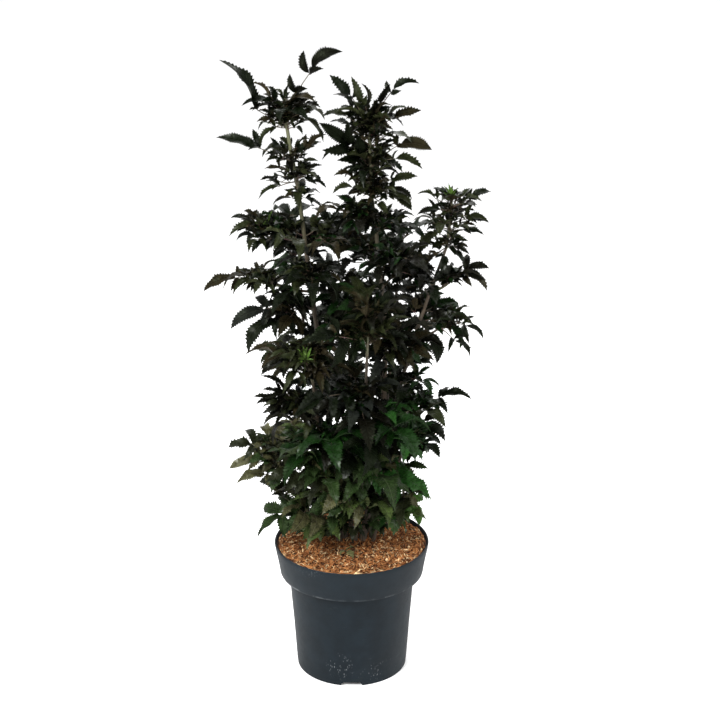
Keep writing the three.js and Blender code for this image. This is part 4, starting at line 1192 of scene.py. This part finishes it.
def leafFinish(name, colour, vein, rough, gloss):
    looks = leafLooks
    skin = Finish(name)
    x, y, own = skin.axes(skin.node("ShaderNodeAttribute", {"attribute_name": "bladePlace"}, None, "Vector"))
    mottle = skin.noise(130, 3)
    base = skin.mix((mottle.step(0.3, 0.7) * 0.5 + own * 0.5).clamped(), shade(colour, looks["dark"]),
                    shade(colour, looks["light"]))
    # a pale midrib, and side veins that run forward from it
    out = x.absolute()
    middle = 1 - out.step(0.02, 0.09)
    stripe = ((y - out * 0.16) * 10).fraction()
    side = (1 - (stripe - 0.5).absolute().step(0.03, 0.13)) * (1 - out.step(0.5, 0.95))
    base = skin.mix((middle * 0.8 + side * 0.4).clamped(), base, vein)
    height = side * -0.8 - middle + mottle * 0.8
    sheen = own.step(0.35, 0.9) * mottle.step(0.4, 0.6) * gloss
    return skin.done(Base_Color=base, Roughness=rough + mottle * 0.14, Specular_IOR_Level=0.08,
                     Specular_Tint=looks["tint"], Coat_Weight=sheen, Coat_Roughness=0.34,
                     Normal=skin.bump(height, 0.9, 0.0024))


def makeLeaves(leaves):
    b, looks = bladePlan, leafLooks
    rng = np.random.default_rng(b["seed"])
    shapes = {f"{kind}{i}": bladeShape(teeth, tooth, b["firstVariant"] + i)
              for kind, (teeth, tooth, _) in b["kinds"].items() for i in range(b["variants"])}
    dealt = {tone: {kind: [] for kind in shapes} for tone in leafTones}
    nodes = {tone: set() for tone in leafTones}
    for leaf in leaves:
        shoot, small = leaf["node"].removeprefix("foliage_"), leaf["small"]
        place = next((place for place, names in shootPlaces.items() if shoot in names), "crown")
        tone = rng.choice(list(tonesByPlace[place]), p=list(tonesByPlace[place].values()))
        tone = leaf["tone"] or tone
        place = {"brown": "low", "fresh": "low", "green": "crown"}.get(place, place)
        nodes[tone].add(leaf["node"])
        own = rng.random()
        bend = "fresh" if leaf["fresh"] else "small" if small and place in ("top", "crown") else place
        for base, tip, upper in leaf["leaflets"]:
            long = np.linalg.norm(tip - base)
            stray = rng.normal(0, long * b["stray"], 3)
            if place == "low" or small and place != "top":
                tip = tip + stray
            kind = next(kind for kind, (*_, least) in b["kinds"].items() if long > least)
            kind = "large" if kind == "fine" and place not in ("top", "low") else kind
            kind += str(rng.integers(b["variants"]))
            bends = {key: rng.uniform(*span) for key, span in zip(bendNames, bladeBends[bend])}
            bends["twist"] = rng.uniform(-1, 1) * b["twist"]
            bends["phase"] = rng.random()
            bends["sway"] = rng.uniform(-1, 1) * b["sway"]
            dealt[tone][kind].append((base, tip, upper, bends, own))
    for tone, (slot, *colours) in leafTones.items():
        rows = []
        for kind, blades in dealt[tone].items():
            if not blades:
                continue
            base, tip, upper, bends, own = zip(*blades)
            size = {key: np.array([bend[key] for bend in bends])[:, None] for key in bends[0]}
            shape = shapes[kind]
            marks = np.empty((len(blades), len(shape.points), 3))
            marks[..., :2] = shape.points[:, :2]
            marks[..., 2] = np.array(own)[:, None]
            places = bendBlades(shape, np.array(base), np.array(tip), np.array(upper), size)
            rows.append((shape, places * mm, marks))
        upperColour, underColour, vein = (shade(colour, 0.0001) for colour in colours)
        gloss, (shiny, dull) = looks["gloss"][slot], looks["rough"]
        finishes = [leafFinish(tone + "Upper", upperColour, vein, shiny, gloss),
                    leafFinish(tone + "Under", underColour, vein, dull, gloss * looks["underGloss"])]
        carry(joinCopies(tone, rows, finishes, "bladePlace", 75), sorted(nodes[tone]))


setStudio()
makePot()
makeMulch()
limbs = growLimbs()
makeWood(limbs)
plant = Plant(limbs)
print(f"grown: {len(plant.stalks)} shoots, {len(plant.leaves)} leaves, {len(plant.twigs)} sprigs")
makeStalks(plant)
makeLeaves(plant.leaves)
